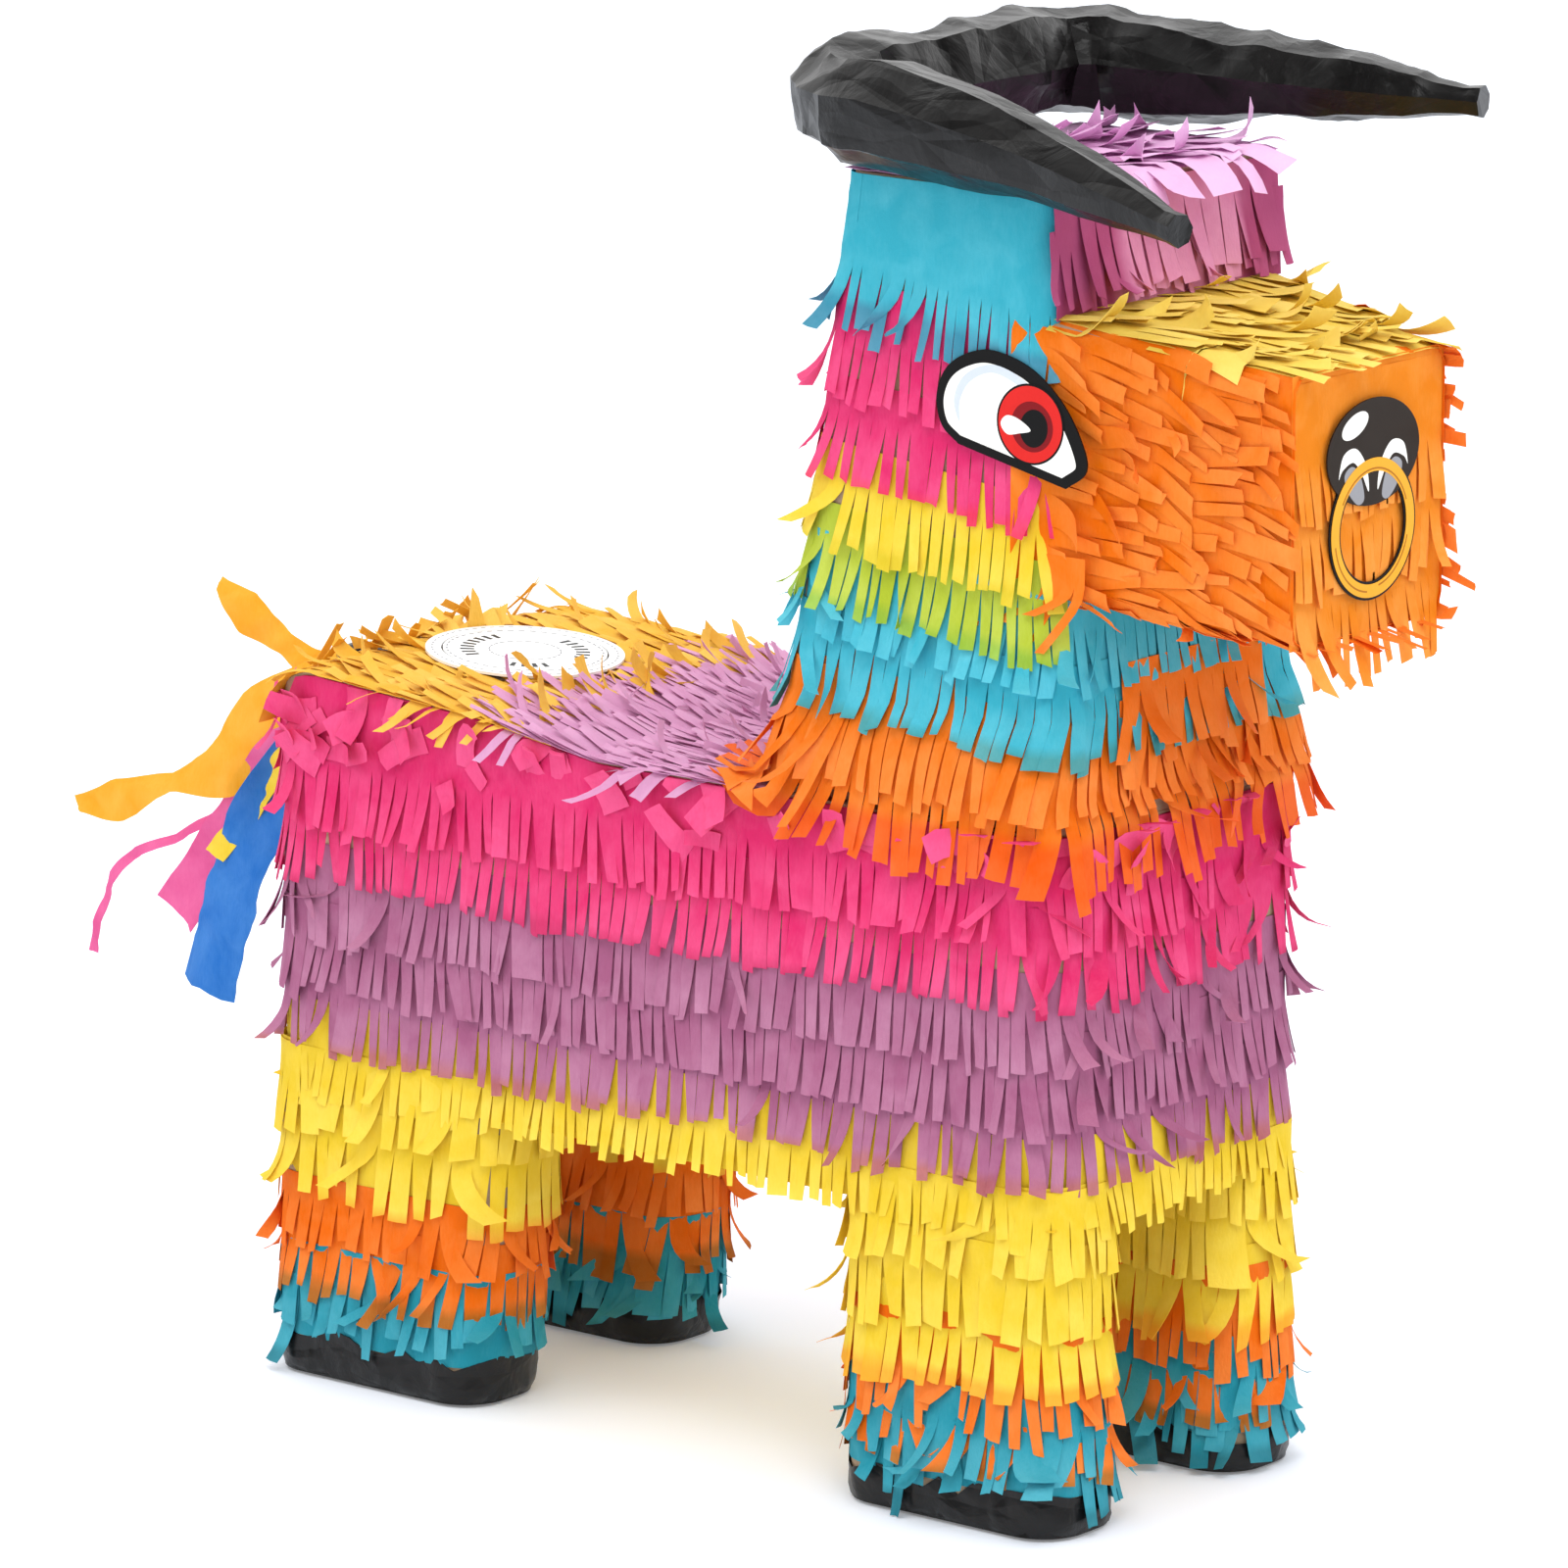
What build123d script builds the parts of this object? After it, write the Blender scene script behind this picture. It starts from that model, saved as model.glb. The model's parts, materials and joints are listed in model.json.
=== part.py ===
"""A small party pinata in the shape of a standing bull: a hollow card carton covered in rows of cut
tissue paper, with rolled paper horns, printed paper labels, a paper tail and a round flap in the back
for filling it.

Millimetres. +X points to the muzzle, +Y to the bull's own left, +Z up. The origin is the middle of the
underside of the whole object's bounding box."""

import os

from build123d import *

os.makedirs("parts", exist_ok=True)

# Stock
CARD = 2.0  # wall of the carton
TISSUE = 2.0  # depth of the glued rows of tissue on it
LABEL = 0.8  # printed labels
INNER = TISSUE + CARD  # from the outside of the tissue to the inside of the card
REACH = 400.0  # longer than the object, for cutting boxes

# Body
REAR_X, CHEST_X = -142.0, 147.0
HALF_WIDTH = 60.0
CORNER = 20.0  # the upright corners, seen from above
BELLY_Z = 86.0
RUMP_X, RUMP_Z = -118.0, 209.0  # where the back starts to slope down
LOIN_X, LOIN_Z = -56.0, 204.5
SHOULDER_X, SHOULDER_Z = -14.0, 198.0
RUMP_ROUND = 24.0

# Legs
LEG_INNER_Y = 22.0
LEG_CORNER = 15.0
REAR_LEG_FRONT_X, REAR_LEG_TOP_X = -60.0, -47.0  # its front edge at the floor and at the belly
FRONT_LEG_REAR_X = 67.0
HOOF_PAD_Z, LEG_TUBE_Z = 0.8, 2.8  # undersides of the card cap and of the leg tube
HOOF_TOP_Z, TURQUOISE_TOP_Z, ORANGE_TOP_Z = 9.0, 29.0, 49.0

# Colour zones of the body
YELLOW_TOP_Z, MAUVE_TOP_Z = 100.0, 148.0
GOLDEN_FRONT_X = -42.0

# Neck and head, one tapered sleeve
NECK_FLOOR_Z, HEAD_Z = 190.0, 370.0
NAPE_X, CROWN_REAR_X = 40.0, 65.0
CROWN_FRONT_X = 138.0
NECK_HALF_WIDTH, HEAD_HALF_WIDTH = 57.0, 54.0
NECK_CORNER = 12.0
NECK_ORANGE_Z, NECK_TURQUOISE_Z, NECK_LIME_Z = 230.0, 257.0, 266.0
NECK_YELLOW_Z, NECK_MAGENTA_Z = 284.0, 331.0
FACE_REAR_X = 125.0

# Snout
SNOUT_ROOT_X, MUZZLE_X = 137.0, 205.0
SNOUT_ROOT = (54.0, 258.0, 336.0)  # half width, underside, top
MUZZLE = (35.0, 250.0, 325.0)
SNOUT_CORNER = 7.0
SNOUT_TOP_EDGE = 4.0  # the golden top stops this far inside the flanks

# Horns: a crown lying on the head, open to the front
HORN_GAP = 0.5
HORN_RADIUS = 15.0
BRIDGE_X, BRIDGE_HALF_LENGTH = 62.0, 36.0
LEFT_TIP_Z, RIGHT_TIP_Z = 384.0, 366.0
# Sections of an arm after the bridge: X, Y, share of the way down or up to the tip, radius, heading
HORN_ARM = [
    (69.0, 52.0, 0.0, 14.5, (1, 1)),
    (88.0, 57.0, 0.0, 14.0, (1, 0)),
    (140.0, 60.0, 0.4, 10.0, (1, 0.1)),
    (192.0, 68.0, 1.0, 5.0, (1, 0.2)),
]

# Fill opening, measured in the plane of the sloping back
FILL_X = -90.0
CUT_RADIUS, KERF = 24.0, 0.5
FILL_LABEL_RADIUS = 28.5

# Printed face
EYE_Y = 55.6
EYE_OUTLINE = [
    (110, 299),
    (103, 309),
    (108, 320),
    (121, 325.5),
    (138, 320),
    (149, 309),
    (153, 299),
    (146, 291),
]
NOSE_Z, NOSE_LENGTH, NOSE_HEIGHT = 300.0, 43.0, 30.0
RING_Z, RING_RADIUS, RING_BORE = 279.5, 19.5, 14.5

# Tail: streamers leave a knot on the rump, listed as width, start height, sideways place and route in X and Z
KNOT_Z, KNOT_RADIUS, KNOT_END_X = 194.0, 6.0, -149.0
STREAMER = 0.8
STREAMERS = {
    "orange_high": (12.0, 198.0, -2.0, [(-172, 206), (-196, 216), (-214, 209)]),
    "orange_low": (12.0, 196.4, 2.0, [(-170, 186), (-205, 158), (-234, 146), (-264, 139)]),
    "pink_curl": (5.0, 194.8, -4.0, [(-168, 176), (-206, 140), (-238, 124), (-263, 93)]),
    "pink_wide": (14.0, 193.2, 3.0, [(-166, 165), (-196, 132), (-224, 102)]),
    "golden": (8.0, 191.6, -8.0, [(-160, 166), (-178, 138), (-192, 118)]),
    "blue": (14.0, 190.0, 4.0, [(-156, 160), (-170, 126), (-190, 90)]),
}


def cut_box(x=(-REACH, REACH), y=(-REACH, REACH), z=(-REACH, 2 * REACH)):
    """The box between two limits on each axis, for cutting."""
    size = [b - a for a, b in (x, y, z)]
    middle = [(a + b) / 2 for a, b in (x, y, z)]
    return Pos(*middle) * Box(*size)


def section(x0, x1, y0, y1, z, corner):
    """A level rectangle with rounded corners."""
    return Pos((x0 + x1) / 2, (y0 + y1) / 2, z) * RectangleRounded(x1 - x0, y1 - y0, corner)


def body_block(inset):
    """The trunk without legs and neck, shrunk by inset on every side."""
    outline = Polyline(
        (REAR_X + inset, 0, BELLY_Z + inset),
        (REAR_X + inset, 0, RUMP_Z - inset),
        (RUMP_X, 0, RUMP_Z - inset),
        (LOIN_X, 0, LOIN_Z - inset),
        (SHOULDER_X, 0, SHOULDER_Z - inset),
        (CHEST_X - inset, 0, SHOULDER_Z - inset),
        (CHEST_X - inset, 0, BELLY_Z + inset),
        close=True,
    )
    trunk = extrude(make_face(outline), amount=HALF_WIDTH - inset, both=True)
    rump_edge = trunk.edges().filter_by(Axis.Y).group_by(Axis.X)[0].sort_by(Axis.Z)[-1]
    trunk = fillet(rump_edge, RUMP_ROUND - inset)
    half = HALF_WIDTH - inset
    plan = section(REAR_X + inset, CHEST_X - inset, -half, half, 0, CORNER - inset)
    return trunk & extrude(plan, amount=REACH)


def leg_block(front, side, inset):
    """One leg from the floor up, shrunk by inset all round. side is +1 for the left and -1 for the right."""
    y0, y1 = sorted((side * (LEG_INNER_Y + inset), side * (HALF_WIDTH - inset)))
    top = BELLY_Z + INNER
    lean = (REAR_LEG_TOP_X - REAR_LEG_FRONT_X) * top / BELLY_Z
    if front:
        low = high = (FRONT_LEG_REAR_X + inset, CHEST_X - inset)
    else:
        low = (REAR_X + inset, REAR_LEG_FRONT_X - inset)
        high = (REAR_X + inset, REAR_LEG_FRONT_X + lean - inset)
    corner = LEG_CORNER - inset
    return loft([section(*low, y0, y1, 0, corner), section(*high, y0, y1, top, corner)])


def neck_block(inset):
    """The neck and head without the snout, shrunk by inset all round."""
    corner = NECK_CORNER - inset
    half_low, half_high = NECK_HALF_WIDTH - inset, HEAD_HALF_WIDTH - inset
    low = section(NAPE_X + inset, CHEST_X - inset, -half_low, half_low, NECK_FLOOR_Z, corner)
    high = section(CROWN_REAR_X + inset, CROWN_FRONT_X - inset, -half_high, half_high, HEAD_Z, corner)
    return loft([low, high])


def snout_block(inset):
    """The snout from inside the head to the muzzle, shrunk by inset on its four long sides."""
    ends = []
    for x, (half, bottom, top) in ((SNOUT_ROOT_X, SNOUT_ROOT), (MUZZLE_X, MUZZLE)):
        end = RectangleRounded(2 * (half - inset), top - bottom - 2 * inset, SNOUT_CORNER - inset)
        ends.append(Plane((x, 0, (top + bottom) / 2), x_dir=(0, 1, 0), z_dir=(1, 0, 0)) * end)
    return loft(ends)


SIDES = {"left": 1, "right": -1}
LEGS = {
    f"{end}_{side}": (end == "front", sign) for end in ("front", "rear") for side, sign in SIDES.items()
}
BACK_PLANE = Plane(
    (FILL_X, 0, RUMP_Z + (LOIN_Z - RUMP_Z) * (FILL_X - RUMP_X) / (LOIN_X - RUMP_X)),
    x_dir=(LOIN_X - RUMP_X, 0, LOIN_Z - RUMP_Z),
    z_dir=(RUMP_Z - LOIN_Z, 0, LOIN_X - RUMP_X),
)


def back_disc(radius, low, high):
    """A disc in the plane of the back, centred on the fill opening, between two heights above the tissue."""
    return BACK_PLANE * (Pos(0, 0, (low + high) / 2) * Cylinder(radius, high - low))


def carton():
    """The card walls of trunk, legs, neck and snout."""
    shell = body_block(TISSUE) - body_block(INNER)
    floor_z, lid_z = BELLY_Z + INNER, SHOULDER_Z - INNER
    inside = HALF_WIDTH - INNER
    walls = shell & cut_box(z=(floor_z, REACH))
    between = walls & cut_box(x=(RUMP_X, CHEST_X - CORNER))
    lid = (between & cut_box(x=(RUMP_X, 100), y=(-inside, inside), z=(lid_z - INNER, REACH))) + (
        walls & cut_box(x=(100, REACH), z=(lid_z, REACH))
    )
    flanks = between - lid
    sleeve = neck_block(TISSUE) - neck_block(INNER)
    snout = snout_block(TISSUE) - snout_block(INNER) - neck_block(TISSUE)
    inner_y = LEG_INNER_Y + TISSUE
    leg_notches = [
        cut_box(x=x, y=y)
        for x in ((-REACH, REAR_LEG_TOP_X - TISSUE / 2), (FRONT_LEG_REAR_X + TISSUE, REACH))
        for y in ((inner_y, REACH), (-REACH, -inner_y))
    ]
    parts = {
        "belly_panel": (shell & cut_box(z=(0, floor_z))) - leg_notches,
        "side_panel_left": flanks & cut_box(y=(0, REACH)),
        "side_panel_right": flanks & cut_box(y=(-REACH, 0)),
        "rump_panel": walls & cut_box(x=(-REACH, RUMP_X)),
        "chest_panel": walls & cut_box(x=(CHEST_X - CORNER, REACH), z=(0, lid_z)),
        "back_panel": lid - neck_block(INNER) - back_disc(CUT_RADIUS, -3 * INNER, INNER),
        "neck_sleeve": sleeve & cut_box(z=(SHOULDER_Z - TISSUE, HEAD_Z - INNER)),
        "head_top_panel": neck_block(TISSUE) & cut_box(z=(HEAD_Z - INNER, HEAD_Z - TISSUE)),
        "snout_sleeve": snout & cut_box(x=(0, MUZZLE_X - INNER)),
        "muzzle_panel": snout_block(TISSUE) & cut_box(x=(MUZZLE_X - INNER, MUZZLE_X - TISSUE)),
    }
    for name, leg in LEGS.items():
        tube = leg_block(*leg, TISSUE) - leg_block(*leg, INNER)
        parts[f"leg_tube_{name}"] = tube & cut_box(z=(LEG_TUBE_Z, REACH))
        parts[f"hoof_pad_{name}"] = leg_block(*leg, TISSUE) & cut_box(z=(HOOF_PAD_Z, LEG_TUBE_Z))
    return parts


def leg_rows(low, high):
    """The tissue round all four legs between two heights, one solid a leg."""
    rings = [leg_block(*leg, 0) - leg_block(*leg, TISSUE) for leg in LEGS.values()]
    solids = [solid for ring in rings for solid in (ring & cut_box(z=(low, high))).solids()]
    return Compound(children=solids)


def hoof_wraps():
    """Black paper folded up round the foot of each leg, closed underneath."""
    cups = []
    for leg in LEGS.values():
        cup = leg_block(*leg, 0) & cut_box(z=(0, HOOF_TOP_Z))
        hollow = leg_block(*leg, TISSUE) & cut_box(z=(HOOF_PAD_Z, REACH))
        cups += (cup - hollow).solids()
    return Compound(children=cups)


def body_tissue():
    """The colour zones on legs and trunk."""
    legs = [leg_block(*leg, 0) for leg in LEGS.values()]
    leg_cores = [leg_block(*leg, TISSUE) for leg in LEGS.values()]
    seat_width = (-NECK_HALF_WIDTH, NECK_HALF_WIDTH)
    neck_seat = cut_box(x=(NAPE_X, REACH), y=seat_width, z=(SHOULDER_Z - TISSUE, REACH))
    trunk = body_block(0) - body_block(TISSUE) - neck_seat - leg_cores
    yellow_legs = [(leg - core) & cut_box(z=(ORANGE_TOP_Z, BELLY_Z)) for leg, core in zip(legs, leg_cores)]
    inside = HALF_WIDTH - TISSUE
    back = trunk & cut_box(x=(RUMP_X, REACH), y=(-inside, inside), z=(SHOULDER_Z - INNER, REACH))
    flanks = trunk - back
    return {
        "hoof_wraps": hoof_wraps(),
        "leg_fringe_turquoise": leg_rows(HOOF_TOP_Z, TURQUOISE_TOP_Z),
        "leg_fringe_orange": leg_rows(TURQUOISE_TOP_Z, ORANGE_TOP_Z),
        "torso_fringe_yellow": (trunk & cut_box(z=(0, YELLOW_TOP_Z))) + yellow_legs,
        "torso_fringe_mauve": trunk & cut_box(z=(YELLOW_TOP_Z, MAUVE_TOP_Z)),
        "torso_fringe_magenta": flanks & cut_box(z=(MAUVE_TOP_Z, REACH)),
        "back_fringe_golden": (back & cut_box(x=(-REACH, GOLDEN_FRONT_X)))
        - back_disc(CUT_RADIUS, -3 * INNER, INNER),
        "back_fringe_lilac": back & cut_box(x=(GOLDEN_FRONT_X, NAPE_X + CORNER)),
    }


def head_tissue():
    """The colour zones on neck, head and snout."""
    around = neck_block(0) - neck_block(TISSUE) - snout_block(0)
    around &= cut_box(z=(SHOULDER_Z, HEAD_Z - TISSUE))
    levels = {
        "neck_fringe_orange": (SHOULDER_Z, NECK_ORANGE_Z),
        "neck_fringe_turquoise": (NECK_ORANGE_Z, NECK_TURQUOISE_Z),
        "neck_fringe_lime": (NECK_TURQUOISE_Z, NECK_LIME_Z),
        "neck_fringe_yellow": (NECK_LIME_Z, NECK_YELLOW_Z),
        "neck_fringe_magenta": (NECK_YELLOW_Z, NECK_MAGENTA_Z),
    }
    parts = {name: around & cut_box(z=level) for name, level in levels.items()}
    top = around & cut_box(z=(NECK_MAGENTA_Z, REACH))
    face = cut_box(x=(FACE_REAR_X, REACH))
    parts["head_fringe_turquoise"] = top - face
    parts["face_fringe_pink"] = top & face
    parts["head_top_fringe_lilac"] = neck_block(0) & cut_box(z=(HEAD_Z - TISSUE, HEAD_Z))

    root, tip = ((end[0] - SNOUT_TOP_EDGE) for end in (SNOUT_ROOT, MUZZLE))
    corners = [(SNOUT_ROOT_X, -root), (MUZZLE_X, -tip), (MUZZLE_X, tip), (SNOUT_ROOT_X, root)]
    top_region = Pos(0, 0, NOSE_Z) * extrude(make_face(Polyline(*corners, close=True)), amount=REACH)
    snout = snout_block(0) - snout_block(TISSUE) - neck_block(TISSUE)
    snout &= cut_box(x=(0, MUZZLE_X - TISSUE))
    parts["snout_fringe_golden"] = snout & top_region
    parts["snout_fringe_orange"] = snout - top_region
    parts["muzzle_fringe_orange"] = snout_block(0) & cut_box(x=(MUZZLE_X - TISSUE, MUZZLE_X))
    return parts


def fill_opening():
    """The flap cut in the back, with its tissue and the label that marks the cut."""
    cut = CUT_RADIUS - KERF
    rim = back_disc(FILL_LABEL_RADIUS, 0, LABEL) - back_disc(CUT_RADIUS, -LABEL, 2 * LABEL)
    return {
        "fill_flap": back_disc(cut, -INNER, -TISSUE),
        "fill_flap_tissue": back_disc(cut, -TISSUE, 0),
        "fill_label": back_disc(cut, 0, LABEL),
        "fill_label_rim": rim,
    }


def horns():
    """Rolled paper horns: a straight bridge and two arms that turn the corner and taper to the front."""
    z = HEAD_Z + HORN_GAP + HORN_RADIUS

    def ring(x, y, z, radius, heading):
        return Plane((x, y, z), z_dir=(*heading, 0)) * Circle(radius)

    ends = [ring(BRIDGE_X, y, z, HORN_RADIUS, (0, 1)) for y in (-BRIDGE_HALF_LENGTH, BRIDGE_HALF_LENGTH)]
    parts = {"horn_bridge": loft(ends)}
    for (name, side), tip_z in zip(SIDES.items(), (LEFT_TIP_Z, RIGHT_TIP_Z)):
        rings = [ring(BRIDGE_X, side * BRIDGE_HALF_LENGTH, z, HORN_RADIUS, (0, side))]
        for x, y, share, radius, (ahead, out) in HORN_ARM:
            rings.append(ring(x, side * y, z + share * (tip_z - z), radius, (ahead, side * out)))
        parts[f"horn_{name}"] = loft(rings)
    return parts


def printed_face():
    """The two eye labels and the nose label with its ring."""
    parts = {}
    outline = [(x, 0, z) for x, z in EYE_OUTLINE]
    eye = make_face([Spline(*outline), Line(outline[-1], outline[0])])
    for name, side in SIDES.items():
        parts[f"eye_label_{name}"] = extrude(Pos(0, side * EYE_Y, 0) * eye, amount=LABEL, dir=(0, side, 0))
    flat = Plane((MUZZLE_X, 0, 0), x_dir=(0, 1, 0), z_dir=(1, 0, 0))
    nose = Pos(0, NOSE_Z) * Ellipse(NOSE_LENGTH / 2, NOSE_HEIGHT / 2)
    ring = Pos(0, RING_Z) * (Circle(RING_RADIUS) - Circle(RING_BORE))
    parts["nose_label"] = extrude(flat * (nose + ring), amount=LABEL)
    return parts


def tail():
    """A knot on the rump and the loose paper streamers that leave it."""
    knot = Pos((KNOT_END_X + REAR_X) / 2 + KNOT_RADIUS, 0, KNOT_Z) * Rot(0, 90, 0)
    knot *= Cylinder(KNOT_RADIUS, 2 * KNOT_RADIUS + REAR_X - KNOT_END_X)
    parts = {"tail_knot": knot - body_block(0)}
    for name, (width, start_z, y, route) in STREAMERS.items():
        path = Spline((KNOT_END_X - STREAMER, y, start_z), *[(x, y, z) for x, z in route])
        start = Plane(path @ 0, x_dir=(0, 1, 0), z_dir=path % 0)
        parts[f"tail_streamer_{name}"] = sweep(start * Rectangle(width, STREAMER), path=path)
    return parts


nodes = {}
for make in (carton, body_tissue, head_tissue, fill_opening, horns, printed_face, tail):
    nodes |= make()
boxes = [shape.bounding_box() for shape in nodes.values()]
middle_x = (min(box.min.X for box in boxes) + max(box.max.X for box in boxes)) / 2
middle_y = (min(box.min.Y for box in boxes) + max(box.max.Y for box in boxes)) / 2
to_origin = Pos(-middle_x, -middle_y, 0)
print("moved to the origin by", to_origin.position)
for node, shape in nodes.items():
    export_step(to_origin * shape, f"parts/{node}.step")
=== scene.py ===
"""The looks of a small party pinata in the shape of a standing bull: cut tissue paper in rows on a card
carton, rolled black paper horns, printed paper labels and a loose paper tail.

Sizes in the tables are millimetres from the middle of the bull's back: X to the muzzle, Y to its own left,
Z up from the floor. SHIFT takes them to the place of the card model, and finished pieces are in metres."""

import json
import math

import bpy
import numpy as np
from mathutils import Euler, Matrix, Vector

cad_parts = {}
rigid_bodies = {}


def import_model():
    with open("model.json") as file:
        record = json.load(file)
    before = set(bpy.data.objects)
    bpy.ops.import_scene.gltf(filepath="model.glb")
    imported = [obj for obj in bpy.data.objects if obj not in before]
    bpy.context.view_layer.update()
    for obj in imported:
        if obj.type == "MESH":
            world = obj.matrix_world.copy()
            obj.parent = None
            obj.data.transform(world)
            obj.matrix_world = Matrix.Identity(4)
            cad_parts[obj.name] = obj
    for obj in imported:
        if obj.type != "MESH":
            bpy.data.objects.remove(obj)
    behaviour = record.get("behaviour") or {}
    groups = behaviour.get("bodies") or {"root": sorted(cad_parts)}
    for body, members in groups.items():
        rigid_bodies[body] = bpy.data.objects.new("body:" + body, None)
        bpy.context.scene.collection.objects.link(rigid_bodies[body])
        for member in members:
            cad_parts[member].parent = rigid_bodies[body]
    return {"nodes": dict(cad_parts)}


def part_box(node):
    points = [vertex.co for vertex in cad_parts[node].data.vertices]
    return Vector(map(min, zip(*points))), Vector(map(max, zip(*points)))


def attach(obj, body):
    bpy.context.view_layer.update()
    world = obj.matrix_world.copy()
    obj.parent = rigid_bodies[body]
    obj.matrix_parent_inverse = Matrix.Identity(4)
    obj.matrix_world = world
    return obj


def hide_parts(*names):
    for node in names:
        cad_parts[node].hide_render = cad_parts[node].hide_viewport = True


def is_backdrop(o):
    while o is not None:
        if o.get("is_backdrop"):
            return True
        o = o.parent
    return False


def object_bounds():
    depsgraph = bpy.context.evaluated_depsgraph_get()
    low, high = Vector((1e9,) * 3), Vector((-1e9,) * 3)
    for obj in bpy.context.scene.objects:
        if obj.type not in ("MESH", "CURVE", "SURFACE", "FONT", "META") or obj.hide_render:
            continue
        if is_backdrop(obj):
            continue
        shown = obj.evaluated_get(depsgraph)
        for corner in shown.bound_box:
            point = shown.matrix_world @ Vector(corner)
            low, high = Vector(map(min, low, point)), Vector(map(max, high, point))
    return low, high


bl_info = {
    "name": "Bull pinata",
    "version": (1, 0, 0),
    "blender": (4, 5, 0),
    "location": "3D View > Sidebar > Pinata",
    "description": "Covers the card bull in rows of cut tissue paper and adds its horns, labels and tail",
    "category": "Object",
}

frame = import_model()
CAD_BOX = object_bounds()

# The card carton under the tissue, in millimetres
MM = 0.001
REAR_X, CHEST_X, HALF_WIDTH, CORNER = -140.0, 145.0, 58.0, 18.0
BELLY_Z = 88.0
BACK_X = (-118.0, -56.0, -14.0, 147.0)
BACK_Z = (207.0, 202.5, 196.0, 196.0)
RUMP_ROUND, RUMP_X, RUMP_ROUND_Z = 22.0, -118.0, 185.0
LEG_Y = (24.0, 58.0)
LEG_CORNER = 13.0
LEG_STRIP = 5.6  # the strips are cut wider on the legs
REAR_LEG_FRONT, REAR_LEG_LEAN = -62.0, 13.0 / 86.0
FRONT_LEG_REAR = 69.0
NECK_Z = (190.0, 370.0)
NECK_REAR_X, NECK_FRONT_X, NECK_HALF = (42.0, 67.0), (145.0, 136.0), (55.0, 52.0)
NECK_CORNER = 10.0
SNOUT_X = (137.0, 205.0)
MUZZLE_X = 203.0
SNOUT_HALF, SNOUT_LOW, SNOUT_HIGH = (52.0, 33.0), (260.0, 252.0), (334.0, 323.0)
SNOUT_CORNER = 5.0
HEAD_TOP_Z = 368.0
EYE_X, EYE_Y, EYE_Z = (101.0, 155.0), 55.6, (289.0, 327.5)
NOSE_X, NOSE_NEAR_X, NOSE_NEAR_Y, NOSE_NEAR_Z = 205.0, (190.0, 999.0), (-22.5, 22.5), (258.0, 316.5)
LABEL_GAP, FLOOR_GAP = 0.3, 0.25  # from the tissue to a label's back and to the floor
FILL_X, FILL_Z, FILL_SLOPE = -90.0, 207.0, math.atan2(-4.5, 62.0)
FILL_ALONG, FILL_RISE = math.cos(FILL_SLOPE), math.sin(FILL_SLOPE)
# Radii of the fill hole, its label and the flat tissue round them
FILL_HOLE, FILL_LABEL, FILL_CLEAR = 24.2, 27.0, 29.5

FEET_LOW, FEET_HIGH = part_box("hoof_wraps")
SHIFT = np.array([FEET_LOW.x / MM - REAR_X + 2.0, (FEET_LOW.y + FEET_HIGH.y) / 2 / MM, 0.0])


def linear(red, green, blue):
    """A colour as a paint chart gives it, 0 to 255, turned into light."""
    return tuple(
        (c / 12.92 if c <= 0.04045 else ((c + 0.055) / 1.055) ** 2.4)
        for c in (red / 255, green / 255, blue / 255)
    )


WHITE = (1, 1, 1, 1)
PAPERS = {
    "magenta": (244, 70, 138),
    "mauve": (196, 126, 162),
    "yellow": (255, 226, 70),
    "orange": (255, 138, 16),
    "turquoise": (64, 180, 198),
    # The legs' turquoise paper made lighter for the neck and head: painted light
    "head_turquoise": (86, 204, 222),
    "black": (44, 42, 42),
    "golden": (255, 190, 48),
    "back_golden": (255, 208, 84),
    "lilac": (234, 176, 214),
    "pale_lilac": (248, 204, 240),
    "pink": (240, 164, 202),
    "lime": (206, 220, 78),
    "blue": (52, 138, 216),
    "tail_pink": (240, 112, 172),
    "neck_orange": (255, 144, 26),
    "snout_orange": (255, 144, 10),
    # The snout's top: a pale golden, paler than the snout's orange sides, partly the paper's colour and
    # partly painted light from above
    "snout_golden": (255, 228, 112),
    "muzzle_orange": (255, 166, 48),
}


# Settings a user would change


class PinataPapers(bpy.types.PropertyGroup):
    """Colours of the tissue papers"""

    __annotations__ = {
        name: bpy.props.FloatVectorProperty(
            name=name.replace("_", " ").capitalize(),
            description=f"Colour of the {name.replace('_', ' ')} paper",
            subtype="COLOR",
            size=3,
            min=0.0,
            max=1.0,
            default=linear(*value),
        )
        for name, value in PAPERS.items()
    }


class PinataFringe(bpy.types.PropertyGroup):
    """Cut of the tissue rows"""

    strip_width: bpy.props.FloatProperty(
        name="Strip width", description="Width of one cut strip", default=0.0044, unit="LENGTH"
    )
    thickness: bpy.props.FloatProperty(
        name="Paper thickness", description="Thickness of the tissue", default=0.00012, unit="LENGTH"
    )
    disorder: bpy.props.FloatProperty(
        name="Disorder", description="How ruffled the strips are", default=1.0, min=0.0, max=3.0
    )


class PinataStage(bpy.types.PropertyGroup):
    """Camera and light"""

    distance: bpy.props.FloatProperty(
        name="Distance", description="From the camera to the bull", default=2.7, unit="LENGTH"
    )
    azimuth: bpy.props.FloatProperty(
        name="Azimuth", description="Turn of the camera", default=math.radians(39), subtype="ANGLE"
    )
    elevation: bpy.props.FloatProperty(
        name="Elevation", description="Height of the camera", default=math.radians(12.5), subtype="ANGLE"
    )
    lens: bpy.props.FloatProperty(
        name="Lens", description="Focal length", default=221.7, unit="CAMERA", min=20.0
    )


# Materials


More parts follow.
